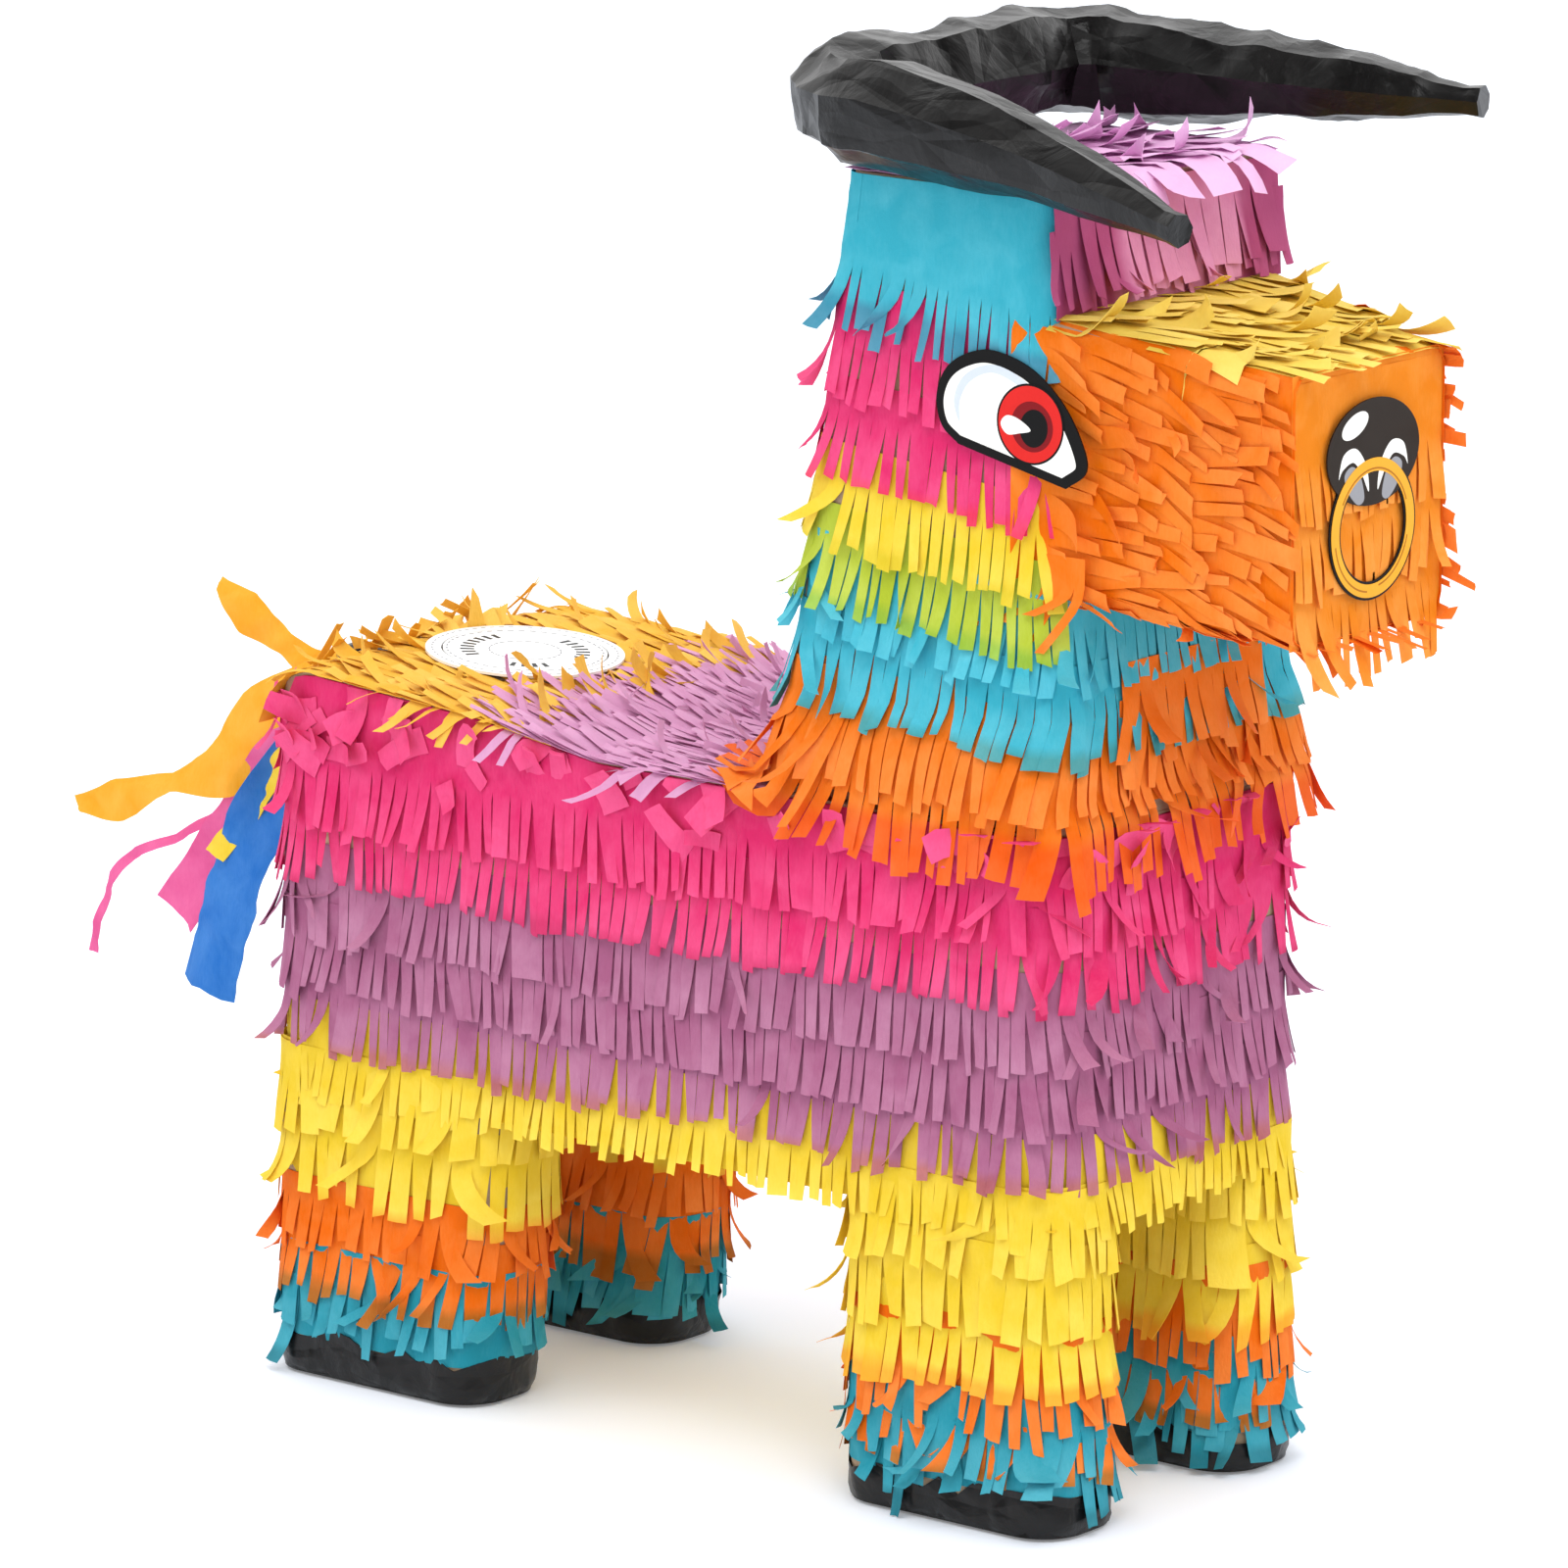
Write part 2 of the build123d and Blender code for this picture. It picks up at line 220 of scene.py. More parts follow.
class Wire:
    """A value on its way through a material; sums on it add Math nodes."""

    def __init__(self, finish, socket):
        self.finish, self.socket = finish, socket

    def math(self, operation, *values):
        return self.finish.node("ShaderNodeMath", {"operation": operation}, dict(enumerate(values)))

    def __add__(self, other):
        return self.math("ADD", self, other)

    def __sub__(self, other):
        return self.math("SUBTRACT", self, other)

    def __rsub__(self, other):
        return self.math("SUBTRACT", other, self)

    def __mul__(self, other):
        return self.math("MULTIPLY", self, other)

    __radd__, __rmul__ = __add__, __mul__

    def clamped(self, low=0.0, high=1.0):
        return self.math("MINIMUM", self.math("MAXIMUM", self, low), high)


class Finish:
    """A material, or the world, being put together from nodes."""

    def __init__(self, name, kind="materials"):
        self.made = getattr(bpy.data, kind).new(name)
        self.made.use_nodes = True
        self.made.node_tree.nodes.clear()

    def node(self, kind, settings=None, sockets=None, out=0):
        """Adds a node, sets it and fills its sockets, and gives the named output."""
        made = self.made.node_tree.nodes.new(kind)
        for name, value in (settings or {}).items():
            setattr(made, name, value)
        for name, value in (sockets or {}).items():
            if isinstance(value, Wire):
                self.made.node_tree.links.new(value.socket, made.inputs[name])
            else:
                made.inputs[name].default_value = value
        return Wire(self, made.outputs[out]) if made.outputs else made

    def place(self, scale=(1, 1, 1), turn=(0, 0, 0)):
        """Where on the piece, in metres, stretched and turned."""
        where = self.node("ShaderNodeTexCoord", out="Object")
        return self.node("ShaderNodeMapping", {}, {"Vector": where, "Rotation": turn, "Scale": scale})

    def noise(self, where, scale, detail=2.0, distortion=0.0):
        sockets = {"Vector": where, "Scale": scale, "Detail": detail, "Distortion": distortion}
        return self.node("ShaderNodeTexNoise", {}, sockets)

    def mix(self, amount, first, second, blend="MIX"):
        """Blends two colours. The colour sockets of a Mix node are its seventh and eighth."""
        settings = {"data_type": "RGBA", "blend_type": blend, "clamp_factor": True}
        colours = {
            slot: value if isinstance(value, Wire) else (*value[:3], 1.0)
            for slot, value in ((6, first), (7, second))
        }
        return self.node("ShaderNodeMix", settings, {0: amount, **colours}, out=2)

    def bump(self, height, strength, distance):
        sockets = {"Height": height, "Strength": strength, "Distance": distance}
        return self.node("ShaderNodeBump", {}, sockets)

    def surface(self, **sockets):
        """The usual shader, its sockets named with underscores for spaces."""
        named = {name.replace("_", " "): value for name, value in sockets.items()}
        return self.node("ShaderNodeBsdfPrincipled", {}, named)

    def finish(self, shader, output="ShaderNodeOutputMaterial"):
        self.node(output, {}, {"Surface": shader})
        return self.made


DULL = 0.12  # how much paper that isn't rubbed mirrors


def tissue(name, colour, beneath=None, amount=0.5, glow=0.22):
    """Thin dyed tissue: mottled, with fibres, and tinted by the colour beneath, with painted light and shade:
    paler towards the strips' free ends and deeper on the glued band between them.
    """
    colour = np.array(colour)
    paint = Finish(name)
    marks = paint.node("ShaderNodeAttribute", {"attribute_name": "paper"}, out="Color")
    split = paint.node("ShaderNodeSeparateColor", {}, {"Color": marks})
    channels = split.socket.node.outputs
    strip, over, free = (Wire(paint, channels[i]) for i in range(3))
    cloud = paint.noise(paint.place(), 85.0, 4.0, 0.6)
    fibre = paint.noise(paint.place((1, 1, 0.22)), 1500.0, 3.0, 0.4)
    fleck = paint.noise(paint.place(), 520.0, 5.0, 1.2)
    # Painted light and shade: free pales the strips towards their tips, standing in for light through single
    # tissue. It deepens the glued band, partly the layered paper's own depth and partly painted shade in the
    # gaps between strips. strip, cloud and fibre are the paper's own tone.
    pale = (strip * 0.45 + cloud * 1.3 + fibre * 0.4 + free * 0.4 - 0.92).clamped()
    deep_colour = tuple(np.clip(colour ** 1.25 * 0.86, 0, 1))
    pale_colour = tuple(np.clip(colour * 0.96 + 0.06, 0, 1))
    base = paint.mix(pale, deep_colour, pale_colour)
    spots = ((fleck - 0.52) * 3.2).clamped() * 0.16
    base = paint.mix(spots, base, tuple(colour ** 1.25 * 0.72))
    if beneath is not None:
        base = paint.mix(over * amount, base, tuple(beneath), "MULTIPLY")
    relief = fibre * 0.6 + cloud * 0.7 + fleck * 0.5
    body = paint.surface(
        Base_Color=base,
        Roughness=(cloud * 0.18 + 0.62).clamped(),
        Specular_IOR_Level=DULL,
        Normal=paint.bump(relief, 0.35, 0.0006),
    )
    through = paint.node("ShaderNodeBsdfTranslucent", {}, {"Color": (*np.clip(colour, 0, 1), 1.0)})
    return paint.finish(paint.node("ShaderNodeMixShader", {}, {0: glow, 1: body, 2: through}))


def card_board(name):
    """Grey-brown carton card with pressed fibres."""
    paint = Finish(name)
    cloud = paint.noise(paint.place(), 60.0, 4.0)
    fibre = paint.noise(paint.place((1, 0.25, 1)), 900.0, 4.0, 0.8)
    base = paint.mix((cloud * 0.7 + fibre * 0.6 - 0.2).clamped(), (0.30, 0.20, 0.12), (0.52, 0.39, 0.26))
    body = paint.surface(
        Base_Color=base,
        Roughness=(fibre * 0.2 + 0.7).clamped(),
        Normal=paint.bump(fibre + cloud, 0.3, 0.0003),
    )
    return paint.finish(body)


def printed(name, colour, second=None, coat=0.0, rough=0.4):
    """Coated label stock printed in one ink, with a faint grain."""
    colour = np.array(colour)
    other = tuple(colour * 0.86) if second is None else tuple(second)
    paint = Finish(name)
    grain = paint.noise(paint.place(), 1400.0, 2.0)
    cloud = paint.noise(paint.place(), 120.0, 2.0)
    base = paint.mix((grain * 0.5 + cloud * 0.6 - 0.3).clamped(), tuple(colour), other)
    body = paint.surface(
        Base_Color=base,
        Roughness=(cloud * 0.16 + rough - 0.08).clamped(),
        Coat_Weight=coat,
        Coat_Roughness=0.18,
        Specular_IOR_Level=DULL,
        Normal=paint.bump(grain, 0.08, 0.0001),
    )
    return paint.finish(body)


def black_paper(name):
    """Rolled black paper, rubbed to a dull shine with greyer handled places and fine creases."""
    paint = Finish(name)
    cloud = paint.noise(paint.place(), 60.0, 5.0, 0.8)
    fibre = paint.noise(paint.place((0.3, 1, 1)), 1200.0, 3.0)

    def crumple(scale, stretch):
        """Flat-sided dents with sharp ridges between them."""
        sockets = {"Vector": paint.place(stretch), "Scale": scale, "Randomness": 1.0}
        return paint.node("ShaderNodeTexVoronoi", {"feature": "DISTANCE_TO_EDGE"}, sockets)

    relief = crumple(30.0, (0.4, 1, 1)) * 1.1 + crumple(70.0, (0.5, 0.7, 1)) * 0.4
    worn = (cloud * 1.2 + fibre * 0.3 - 0.5).clamped()
    base = paint.mix(worn, (0.003, 0.0027, 0.0027), (0.012, 0.011, 0.0105))
    body = paint.surface(
        Base_Color=base,
        Roughness=(cloud * 0.22 + 0.24).clamped(),
        Specular_IOR_Level=0.3,
        Normal=paint.bump(relief + cloud * 0.25, 0.75, 0.006),
    )
    return paint.finish(body)


MADE = {}


def material(name, maker, *values, **settings):
    """The material of that name, made when first asked for."""
    if name not in MADE:
        MADE[name] = maker(name, *values, **settings)
    return MADE[name]


def paper(name, beneath=None, **settings):
    """A tissue in one of the papers' colours, lying over another."""
    colours = bpy.context.scene.pinata_papers
    under = None if beneath is None else getattr(colours, beneath)
    label = f"tissue_{name}" + (f"_over_{beneath}" if beneath else "")
    return material(label, tissue, tuple(getattr(colours, name)), under, **settings)


# Sheets of paper


class Ring:
    """A rounded rectangle, walked anticlockwise from the start of its low side."""

    def __init__(self, x0, x1, y0, y1, corner):
        places, normals = [(x0 + corner, y0)], [(0, -1)]
        low_x, high_x, low_y, high_y = x0 + corner, x1 - corner, y0 + corner, y1 - corner
        for cx, cy, start in (
            (high_x, low_y, -90), (high_x, high_y, 0), (low_x, high_y, 90), (low_x, low_y, 180)
        ):
            for angle in np.radians(np.linspace(start, start + 90, 13)):
                normals.append((math.cos(angle), math.sin(angle)))
                places.append((cx + corner * normals[-1][0], cy + corner * normals[-1][1]))
        self.places, self.normals = np.array(places), np.array(normals)
        steps = np.linalg.norm(np.diff(self.places, axis=0), axis=1)
        self.along = np.concatenate([[0], np.cumsum(steps)])
        self.length = self.along[-1]

    def at(self, s):
        """Place and outward direction at distances along the ring."""
        s = np.mod(s, self.length)
        values = [
            np.interp(s, self.along, column) for column in (*self.places.T, *self.normals.T)
        ]
        size = np.maximum(np.hypot(values[2], values[3]), 1e-9)
        return values[0], values[1], values[2] / size, values[3] / size


class Sheet:
    """Patches of paper gathered into one piece, with the marks its material reads."""

    def __init__(self):
        self.points, self.faces, self.marks, self.count = [], [], [], 0

    def add(self, points, marks):
        """Adds many grids at once, given as patches, rows, columns and coordinates."""
        patches, rows, columns = points.shape[:3]
        index = np.arange(patches * rows * columns).reshape(patches, rows, columns) + self.count
        corners = (index[:, :-1, :-1], index[:, 1:, :-1], index[:, 1:, 1:], index[:, :-1, 1:])
        self.faces.append(np.stack(corners, axis=-1).reshape(-1, 4))
        self.points.append(points.reshape(-1, 3))
        self.marks.append(marks.reshape(-1, 3))
        self.count += patches * rows * columns

    def cut_out(self, inside):
        """Drops the faces that touch a place for which inside is true."""
        gone = inside(np.concatenate(self.points))
        faces = np.concatenate(self.faces)
        self.faces = [faces[~gone[faces].any(1)]]

    def piece(self, name, finish, thickness=0.12, merge=True):
        """One object from the patches, cut edges joined where they meet, with the paper's thickness."""
        mesh = bpy.data.meshes.new(name)
        points = (np.concatenate(self.points) + SHIFT) * MM
        mesh.from_pydata(points.tolist(), [], np.concatenate(self.faces).tolist())
        marks = mesh.attributes.new("paper", "FLOAT_COLOR", "POINT")
        colours = np.ones((len(points), 4), np.float32)
        colours[:, :3] = np.concatenate(self.marks)
        marks.data.foreach_set("color", colours.ravel())
        made = bpy.data.objects.new(name, mesh)
        bpy.context.scene.collection.objects.link(made)
        made.data.materials.append(finish)
        choose(made)
        if merge:
            bpy.ops.object.mode_set(mode="EDIT")
            bpy.ops.mesh.select_all(action="SELECT")
            bpy.ops.mesh.remove_doubles(threshold=2e-6)
            bpy.ops.mesh.delete_loose()
            bpy.ops.object.mode_set(mode="OBJECT")
        if thickness:
            wall = made.modifiers.new("paper", "SOLIDIFY")
            wall.thickness, wall.offset = thickness * MM, -1.0
            bpy.ops.object.modifier_apply(modifier=wall.name)
        bpy.ops.object.shade_smooth_by_angle(angle=math.radians(50))
        return made


def choose(*objects):
    """Selects only these objects, the first of them active, or none at all."""
    for other in bpy.context.view_layer.objects:
        other.select_set(False)
    for one in objects:
        one.select_set(True)
    if objects:
        bpy.context.view_layer.objects.active = objects[0]


def drift(rng, count, reach):
    """Random values that change slowly along a row, of about unit size."""
    values = rng.normal(size=count + 6 * reach)
    kernel = np.exp(-0.5 * (np.arange(-3 * reach, 3 * reach + 1) / max(reach, 1)) ** 2)
    smooth = np.convolve(values, kernel / np.sqrt((kernel**2).sum()), "same")
    return smooth[3 * reach : 3 * reach + count]


class Creases:
    """Soft folds in a glued sheet, given as a height over two directions."""

    def __init__(self, rng, height, sizes=(6.0, 26.0)):
        count = 9
        wavelength = rng.uniform(*sizes, count)
        angle = rng.normal(0.0, 0.75, count)
        self.waves = np.stack([np.cos(angle), np.sin(angle)], -1) / wavelength[:, None] * 2 * math.pi
        self.phase = rng.uniform(0, 2 * math.pi, count)
        self.height = height * np.sqrt(wavelength / wavelength.mean()) / math.sqrt(count)

    def at(self, s, v):
        total = np.zeros(np.broadcast(s, v).shape)
        for (a, b), phase, height in zip(self.waves, self.phase, self.height):
            wave = np.sin(a * s + b * v + phase)
            total += height * (1.4 * (1 - np.abs(wave)) - 0.5 if phase > math.pi else wave)
        return total


FREE_STEPS = 6


def comb(
    sheet, rng, wall, span, top, cut, tip, wild=0.06, flare=0.16, lean=0.0, base=0.45, step=1.1,
    edge=None, keep=None, crease=0.18, width=None, ragged=0.06, loose=0.07, band_step=4.5,
):
    """One row of tissue: an uncut band glued on, and strips cut up into it that hang free.

    wall takes distances along, down and out to a place. The band starts at top, the cuts at cut, and the
    strips end at tip; top may be a function of the distance along. wild is the share of strips that are
    bent out of line. Another colour starts beneath at edge, and keep picks strips by place. Turns are in
    radians, and shares are of a strip's length or width."""
    settings = bpy.context.scene.pinata_fringe
    width = width or settings.strip_width / MM
    mess = settings.disorder
    start, end = span
    count = max(1, round((end - start) / width))
    share_of_width = np.exp(rng.normal(0, 0.16, count)) * np.where(rng.random(count) < 0.07, 1.7, 1.0)
    edges = start + (end - start) * np.concatenate([[0], np.cumsum(share_of_width)]) / share_of_width.sum()
    left, right = edges[:-1], edges[1:]
    middle = (left + right) / 2
    way = np.sign(tip - cut)
    folds = Creases(rng, crease)

    # How each strip hangs
    length = abs(tip - cut) * (1 + ragged * (0.7 * drift(rng, count, 4) + rng.normal(size=count)))
    sideways = loose * (0.8 * drift(rng, count, 3) + 0.7 * rng.normal(size=count)) * mess
    sideways = sideways + (lean(middle) if callable(lean) else lean)
    bend = 0.05 * rng.normal(size=count) * mess
    outward = flare * np.abs(0.55 + 0.45 * drift(rng, count, 3) + 0.35 * rng.normal(size=count))
    twist = 0.16 * rng.normal(size=count) * mess
    power = rng.uniform(0.8, 1.8, count)
    share = wild(middle) if callable(wild) else np.full(count, wild)
    astray = rng.random(count) < share * mess
    number = int(astray.sum())
    sideways[astray] += rng.normal(0, 0.42, number)
    outward[astray] += rng.uniform(0.1, 1.25, number) ** 1.3
    twist[astray] += rng.normal(0, 0.75, number)
    bend[astray] += rng.normal(0, 0.3, number)
    taper = np.clip(rng.normal(0.2, 0.12, count), -0.04, 0.5)
    taper[astray] = rng.uniform(-0.05, 0.3, number)
    slant = rng.normal(0, 0.06 * width, count)
    cup = rng.normal(0, 0.07 * width, count)
    rng.normal(size=count)  # keeps the draws after it in their order
    kept = np.ones(count, bool) if keep is None else keep(middle)
    shade = np.clip(0.5 + 0.28 * rng.normal(size=count) + 0.12 * drift(rng, count, 4), 0, 1)

    # The band, shared edge to edge
    tops = top(edges) if callable(top) else np.full(count + 1, float(top))
    rows = max(2, int(math.ceil(abs(cut - np.median(tops)) / band_step)) + 1)
    part = np.linspace(0, 1, rows)[None, :, None]
    across = np.stack([left, middle, right], -1)[:, None, :]
    top_three = np.stack([tops[:-1], (tops[:-1] + tops[1:]) / 2, tops[1:]], -1)[:, None, :]
    band_v = top_three + (cut - top_three) * part
    band_s = np.broadcast_to(across, band_v.shape)
    band_o = base + folds.at(band_s, band_v) * np.minimum(1, 0.35 + part)

    # The strips, as steps that turn sideways and outwards
    t_mid = (np.arange(FREE_STEPS) + 0.5) / FREE_STEPS
    t = (np.arange(FREE_STEPS) + 1.0) / FREE_STEPS
    turn = sideways[:, None] * np.minimum(1, t_mid * 3)[None, :] + bend[:, None] * t_mid
    rise = outward[:, None] * t_mid[None, :] ** power[:, None]
    each = length[:, None] / FREE_STEPS
    go_s = np.cumsum(each * np.sin(turn), 1)
    go_v = np.cumsum(each * np.cos(turn) * np.cos(rise), 1)
    go_o = np.cumsum(each * np.cos(turn) * np.sin(rise), 1)
    half = (right - left)[:, None] / 2 * (1 - taper[:, None] * t[None, :]) - 0.10
    spin = twist[:, None] * t[None, :] ** 1.3
    side = np.array([-1.0, 0.0, 1.0])
    s = middle[:, None, None] + go_s[..., None] + half[..., None] * side * np.cos(spin)[..., None]
    v = cut + way * (go_v[..., None] + slant[:, None, None] * side * (t[None, :, None] ** 3))
    lift = base + step * (t * (1.6 - 0.6 * t))[None, :, None]
    lift = lift + rng.uniform(0, 0.35, count)[:, None, None] * t[None, :, None]
    o = lift + go_o[..., None] + half[..., None] * side * np.sin(spin)[..., None]
    o = o + (cup[:, None] * t[None, :])[..., None] * (1 - side**2)
    o = o + folds.at(middle[:, None, None], np.full_like(v, cut)) * (1 - t)[None, :, None]
    o = np.maximum(o, base + 0.35 * step * t[None, :, None])

    # The cuts run up into the band by different amounts
    band_v[:, -1, 1] = cut
    points = wall(
        np.concatenate([band_s, s], 1), np.concatenate([band_v, v], 1), np.concatenate([band_o, o], 1)
    )
    points = press(points)
    # free rises from 0 on the glued band to 1 at a strip's tip; from it the tissue material paints shade on
    # the band and light towards the tips
    free = np.concatenate([np.zeros(rows), t])[None, :, None]
    marks = np.zeros((*points.shape[:3], 3))
    marks[..., 0] = 0.5 + (shade[:, None, None] - 0.5) * np.minimum(1, free * 2.5)
    if edge is not None:
        everywhere = np.concatenate([band_v, v], 1)
        marks[..., 1] = np.clip((everywhere - edge) * way / 1.5, 0, 1)
    marks[..., 2] = free
    sheet.add(points[kept], marks[kept])


def plain_marks(points):
    """Marks of paper that hangs half free, with nothing beneath it."""
    marks = np.full((*points.shape[:3], 3), 0.5)
    marks[..., 1] = 0
    return marks


def plain(sheet, rng, wall, span, low, high, base=0.35, crease=0.3, step=4.0):
    """A plain glued sheet with soft creases."""
    start, end = span
    columns, rows = (max(2, round(abs(b - a) / step) + 1) for a, b in ((start, end), (low, high)))
    s = np.linspace(start, end, columns)[None, None, :]
    v = np.linspace(low, high, rows)[None, :, None]
    s, v = np.broadcast_arrays(s, v)
    o = base + Creases(rng, crease).at(s, v)
    points = press(wall(s, v, o))
    marks = np.zeros((*points.shape[:3], 3))
    marks[..., 0] = 0.5
    sheet.add(points, marks)


def tabs(sheet, rng, wall, span, level, count, wanted, size=(8.0, 17.0), wide=(4.5, 9.0), base=1.3):
    """Loose folded bits of tissue, glued down anyhow where wanted gives a high enough share."""
    s0, v0 = rng.uniform(*span, count), rng.uniform(*level, count)
    kept = rng.random(count) < wanted(s0)
    s0, v0 = s0[kept], v0[kept]
    count = len(s0)
    angle = rng.uniform(0, 2 * math.pi, count)
    length, width = rng.uniform(*size, count), rng.uniform(*wide, count)
    lift = rng.uniform(0.05, 0.6, count)
    u = np.linspace(-0.5, 0.5, 6)[None, :, None]
    w = np.array([-0.5, 0.0, 0.5])[None, None, :]
    turned = angle[:, None, None] + 0.5 * rng.normal(size=count)[:, None, None] * u
    along, beside = length[:, None, None] * u, width[:, None, None] * w * (1 - 0.25 * u)
    s = s0[:, None, None] + along * np.cos(turned) - beside * np.sin(turned)
    v = v0[:, None, None] + along * np.sin(turned) + beside * np.cos(turned)
    rise = lift[:, None, None] * length[:, None, None] * (u + 0.5) ** 2
    fold = rng.normal(0, 0.8, count)[:, None, None] * (1 - 4 * w**2) * (u + 0.5)
    points = press(wall(s, v, base + rise + fold + rng.uniform(0, 0.8, count)[:, None, None]))
    marks = np.zeros((*points.shape[:3], 3))
    marks[..., 0] = np.clip(0.9 + 0.3 * rng.normal(size=count), 0, 1.3)[:, None, None]
    marks[..., 2] = 1.0
    sheet.add(points, marks)


def near_rump(s):
    """High at the rump's corners, low along the flank."""
    x, _, nx, _ = TORSO.at(s)
    rump = 0.8 * np.exp(-(((x - REAR_X) / 30.0) ** 2)) * (nx > -0.95)
    return 0.10 + rump + 0.25 * np.exp(-(((x - CHEST_X) / 10.0) ** 2))


def along_flank(s):
    """Even along the flanks and low at the chest and the rump's face."""
    _, _, nx, _ = TORSO.at(s)
    return 0.5 * (1 - np.abs(nx))


def on_fill_plane(x, z):
    """How far ahead along the fill label's plane a place lies, and how far above it."""
    x, z = x - FILL_X, z - FILL_Z
    return x * FILL_ALONG + z * FILL_RISE, z * FILL_ALONG - x * FILL_RISE


def off_fill_plane(ahead, above):
    """X and Z of a place given on the fill label's plane."""
    x = FILL_X + ahead * FILL_ALONG - above * FILL_RISE
    return x, FILL_Z + ahead * FILL_RISE + above * FILL_ALONG


def within(value, low, high):
    return (value > low) & (value < high)


def press(points):
    """Keeps the tissue under the printed labels, and off the floor."""
    x, y, z = points[..., 0], points[..., 1], points[..., 2]
    by_eye = within(x, *EYE_X) & within(z, *EYE_Z)
    y = np.where(by_eye, np.clip(y, LABEL_GAP - EYE_Y, EYE_Y - LABEL_GAP), y)
    by_nose = within(x, *NOSE_NEAR_X) & within(y, *NOSE_NEAR_Y) & within(z, *NOSE_NEAR_Z)
    x = np.where(by_nose, np.minimum(x, NOSE_X - LABEL_GAP), x)
    ahead, above = on_fill_plane(x, z)
    by_fill = (np.hypot(ahead, y) < FILL_CLEAR) & (above > -0.2) & (above < 30)
    flat_x, flat_z = off_fill_plane(ahead, -0.2)
    x, z = np.where(by_fill, flat_x, x), np.where(by_fill, flat_z, z)
    return np.stack([x, y, np.maximum(z, FLOOR_GAP)], -1)


# Walls of the carton, each taking distances along, down and out to a place


def back_height(x):
    """The card of the back, with the rounded rump."""
    level = np.interp(x, BACK_X, BACK_Z)
    behind = np.clip(RUMP_X - x, 0, RUMP_ROUND)
    return np.where(x < RUMP_X, RUMP_ROUND_Z + np.sqrt(RUMP_ROUND**2 - behind**2), level)


TORSO = Ring(REAR_X, CHEST_X, -HALF_WIDTH, HALF_WIDTH, CORNER)


def torso_wall(s, z, out):
    x, y, nx, ny = TORSO.at(s)
    x, y, nx, ny, z, out = np.broadcast_arrays(x, y, nx, ny, z, out)
    over = np.clip(z - RUMP_ROUND_Z, 0, RUMP_ROUND - 0.5)
    edge = RUMP_X - np.sqrt(RUMP_ROUND**2 - over**2)
    tilt = np.where(x < edge, over / RUMP_ROUND, 0.0)
    level = np.sqrt(1 - tilt**2)
    return np.stack(
        [np.maximum(x, edge) + out * nx * level, y + out * ny * level, z + out * tilt], -1
    )


def in_fill_hole(points):
    """True where the fill hole is, and over the label around it."""
    ahead, above = on_fill_plane(points[:, 0], points[:, 2])
    across = np.hypot(ahead, points[:, 1])
    covered = (across < FILL_HOLE) | ((across < FILL_LABEL) & (above > 0.8))
    return covered & (np.abs(points[:, 2] - FILL_Z) < 12)


def torso_top(limit, below=0.8):
    """A band's top edge on the trunk, no higher than the back."""

    def top(s):
        x, _, nx, _ = TORSO.at(s)
        return np.minimum(limit, np.where(nx < -0.3, RUMP_ROUND_Z + 14.0, back_height(x) - below))

    return top


def below_back(s, z, out):
    """The trunk's wall, cut off level with the back."""
    return torso_wall(s, np.minimum(z, torso_top(207.0)(s)), out)


def leg_ring(front, side):
    x0, x1 = (FRONT_LEG_REAR, CHEST_X) if front else (REAR_X, REAR_LEG_FRONT)
    y0, y1 = sorted((side * LEG_Y[0], side * LEG_Y[1]))
    return Ring(x0, x1, y0, y1, LEG_CORNER)


def leg_wall(front, side):
    ring = leg_ring(front, side)

    def wall(s, z, out):
        x, y, nx, ny = ring.at(s)
        x, y, nx, ny, z, out = np.broadcast_arrays(x, y, nx, ny, z, out)
        if not front:
            share = (x - REAR_X) / (REAR_LEG_FRONT - REAR_X)
            x = x + share * np.clip(z, 0, 100) * REAR_LEG_LEAN
        return np.stack([x + out * nx, y + out * ny, z], -1)

    return wall


NECK_MIDDLE = tuple((a + b) / 2 for a, b in (NECK_REAR_X, NECK_FRONT_X, NECK_HALF))
NECK = Ring(NECK_MIDDLE[0], NECK_MIDDLE[1], -NECK_MIDDLE[2], NECK_MIDDLE[2], NECK_CORNER)
NAPE_LIE_Z = 200.6
NECK_TILT = 0.11  # the rows lie lower at the throat


def neck_wall(s, z, out):
    """The neck's tapering sleeve. Its skirt widens over the shoulders and lies back on the nape."""
    x, y, nx, ny = NECK.at(s)
    x, y, nx, ny, z, out = np.broadcast_arrays(x, y, nx, ny, z, out)
    tilt = NECK_TILT * np.clip((z - 200.0) / 30.0, 0, 1) * np.clip((368.0 - z) / 30.0, 0, 1)
    z = z - tilt * (x - sum(NECK_MIDDLE[:2]) / 2)
    share = (z - NECK_Z[0]) / (NECK_Z[1] - NECK_Z[0])
    x0, x1, half = (a + share * (b - a) for a, b in (NECK_REAR_X, NECK_FRONT_X, NECK_HALF))
    skirt = np.clip((226.0 - z) / 22.0, 0, 1)
    half = half + skirt * (2 - skirt) * 5.0
    px = x0 + (x - NECK_MIDDLE[0]) / (NECK_MIDDLE[1] - NECK_MIDDLE[0]) * (x1 - x0)
    py = y / NECK_MIDDLE[2] * half
    px, py = px + out * nx, py + out * ny
    front_low = np.clip((204.0 - z) / 8.0, 0, 1) * np.clip(nx, 0, 1)
    px = px + 2.2 * front_low
    behind = np.clip(-nx * 1.6 - 0.35, 0, 1)
    under = np.maximum(NAPE_LIE_Z - z, 0) * behind
    return np.stack([px - under * 0.97, py, z + under + 0.02 * under * out], -1)


def front_face(s):
    """True on the side of the neck that the snout and face cover."""
    _, y, nx, _ = NECK.at(s)
    return (nx > 0.6) & (np.abs(y) < 46)


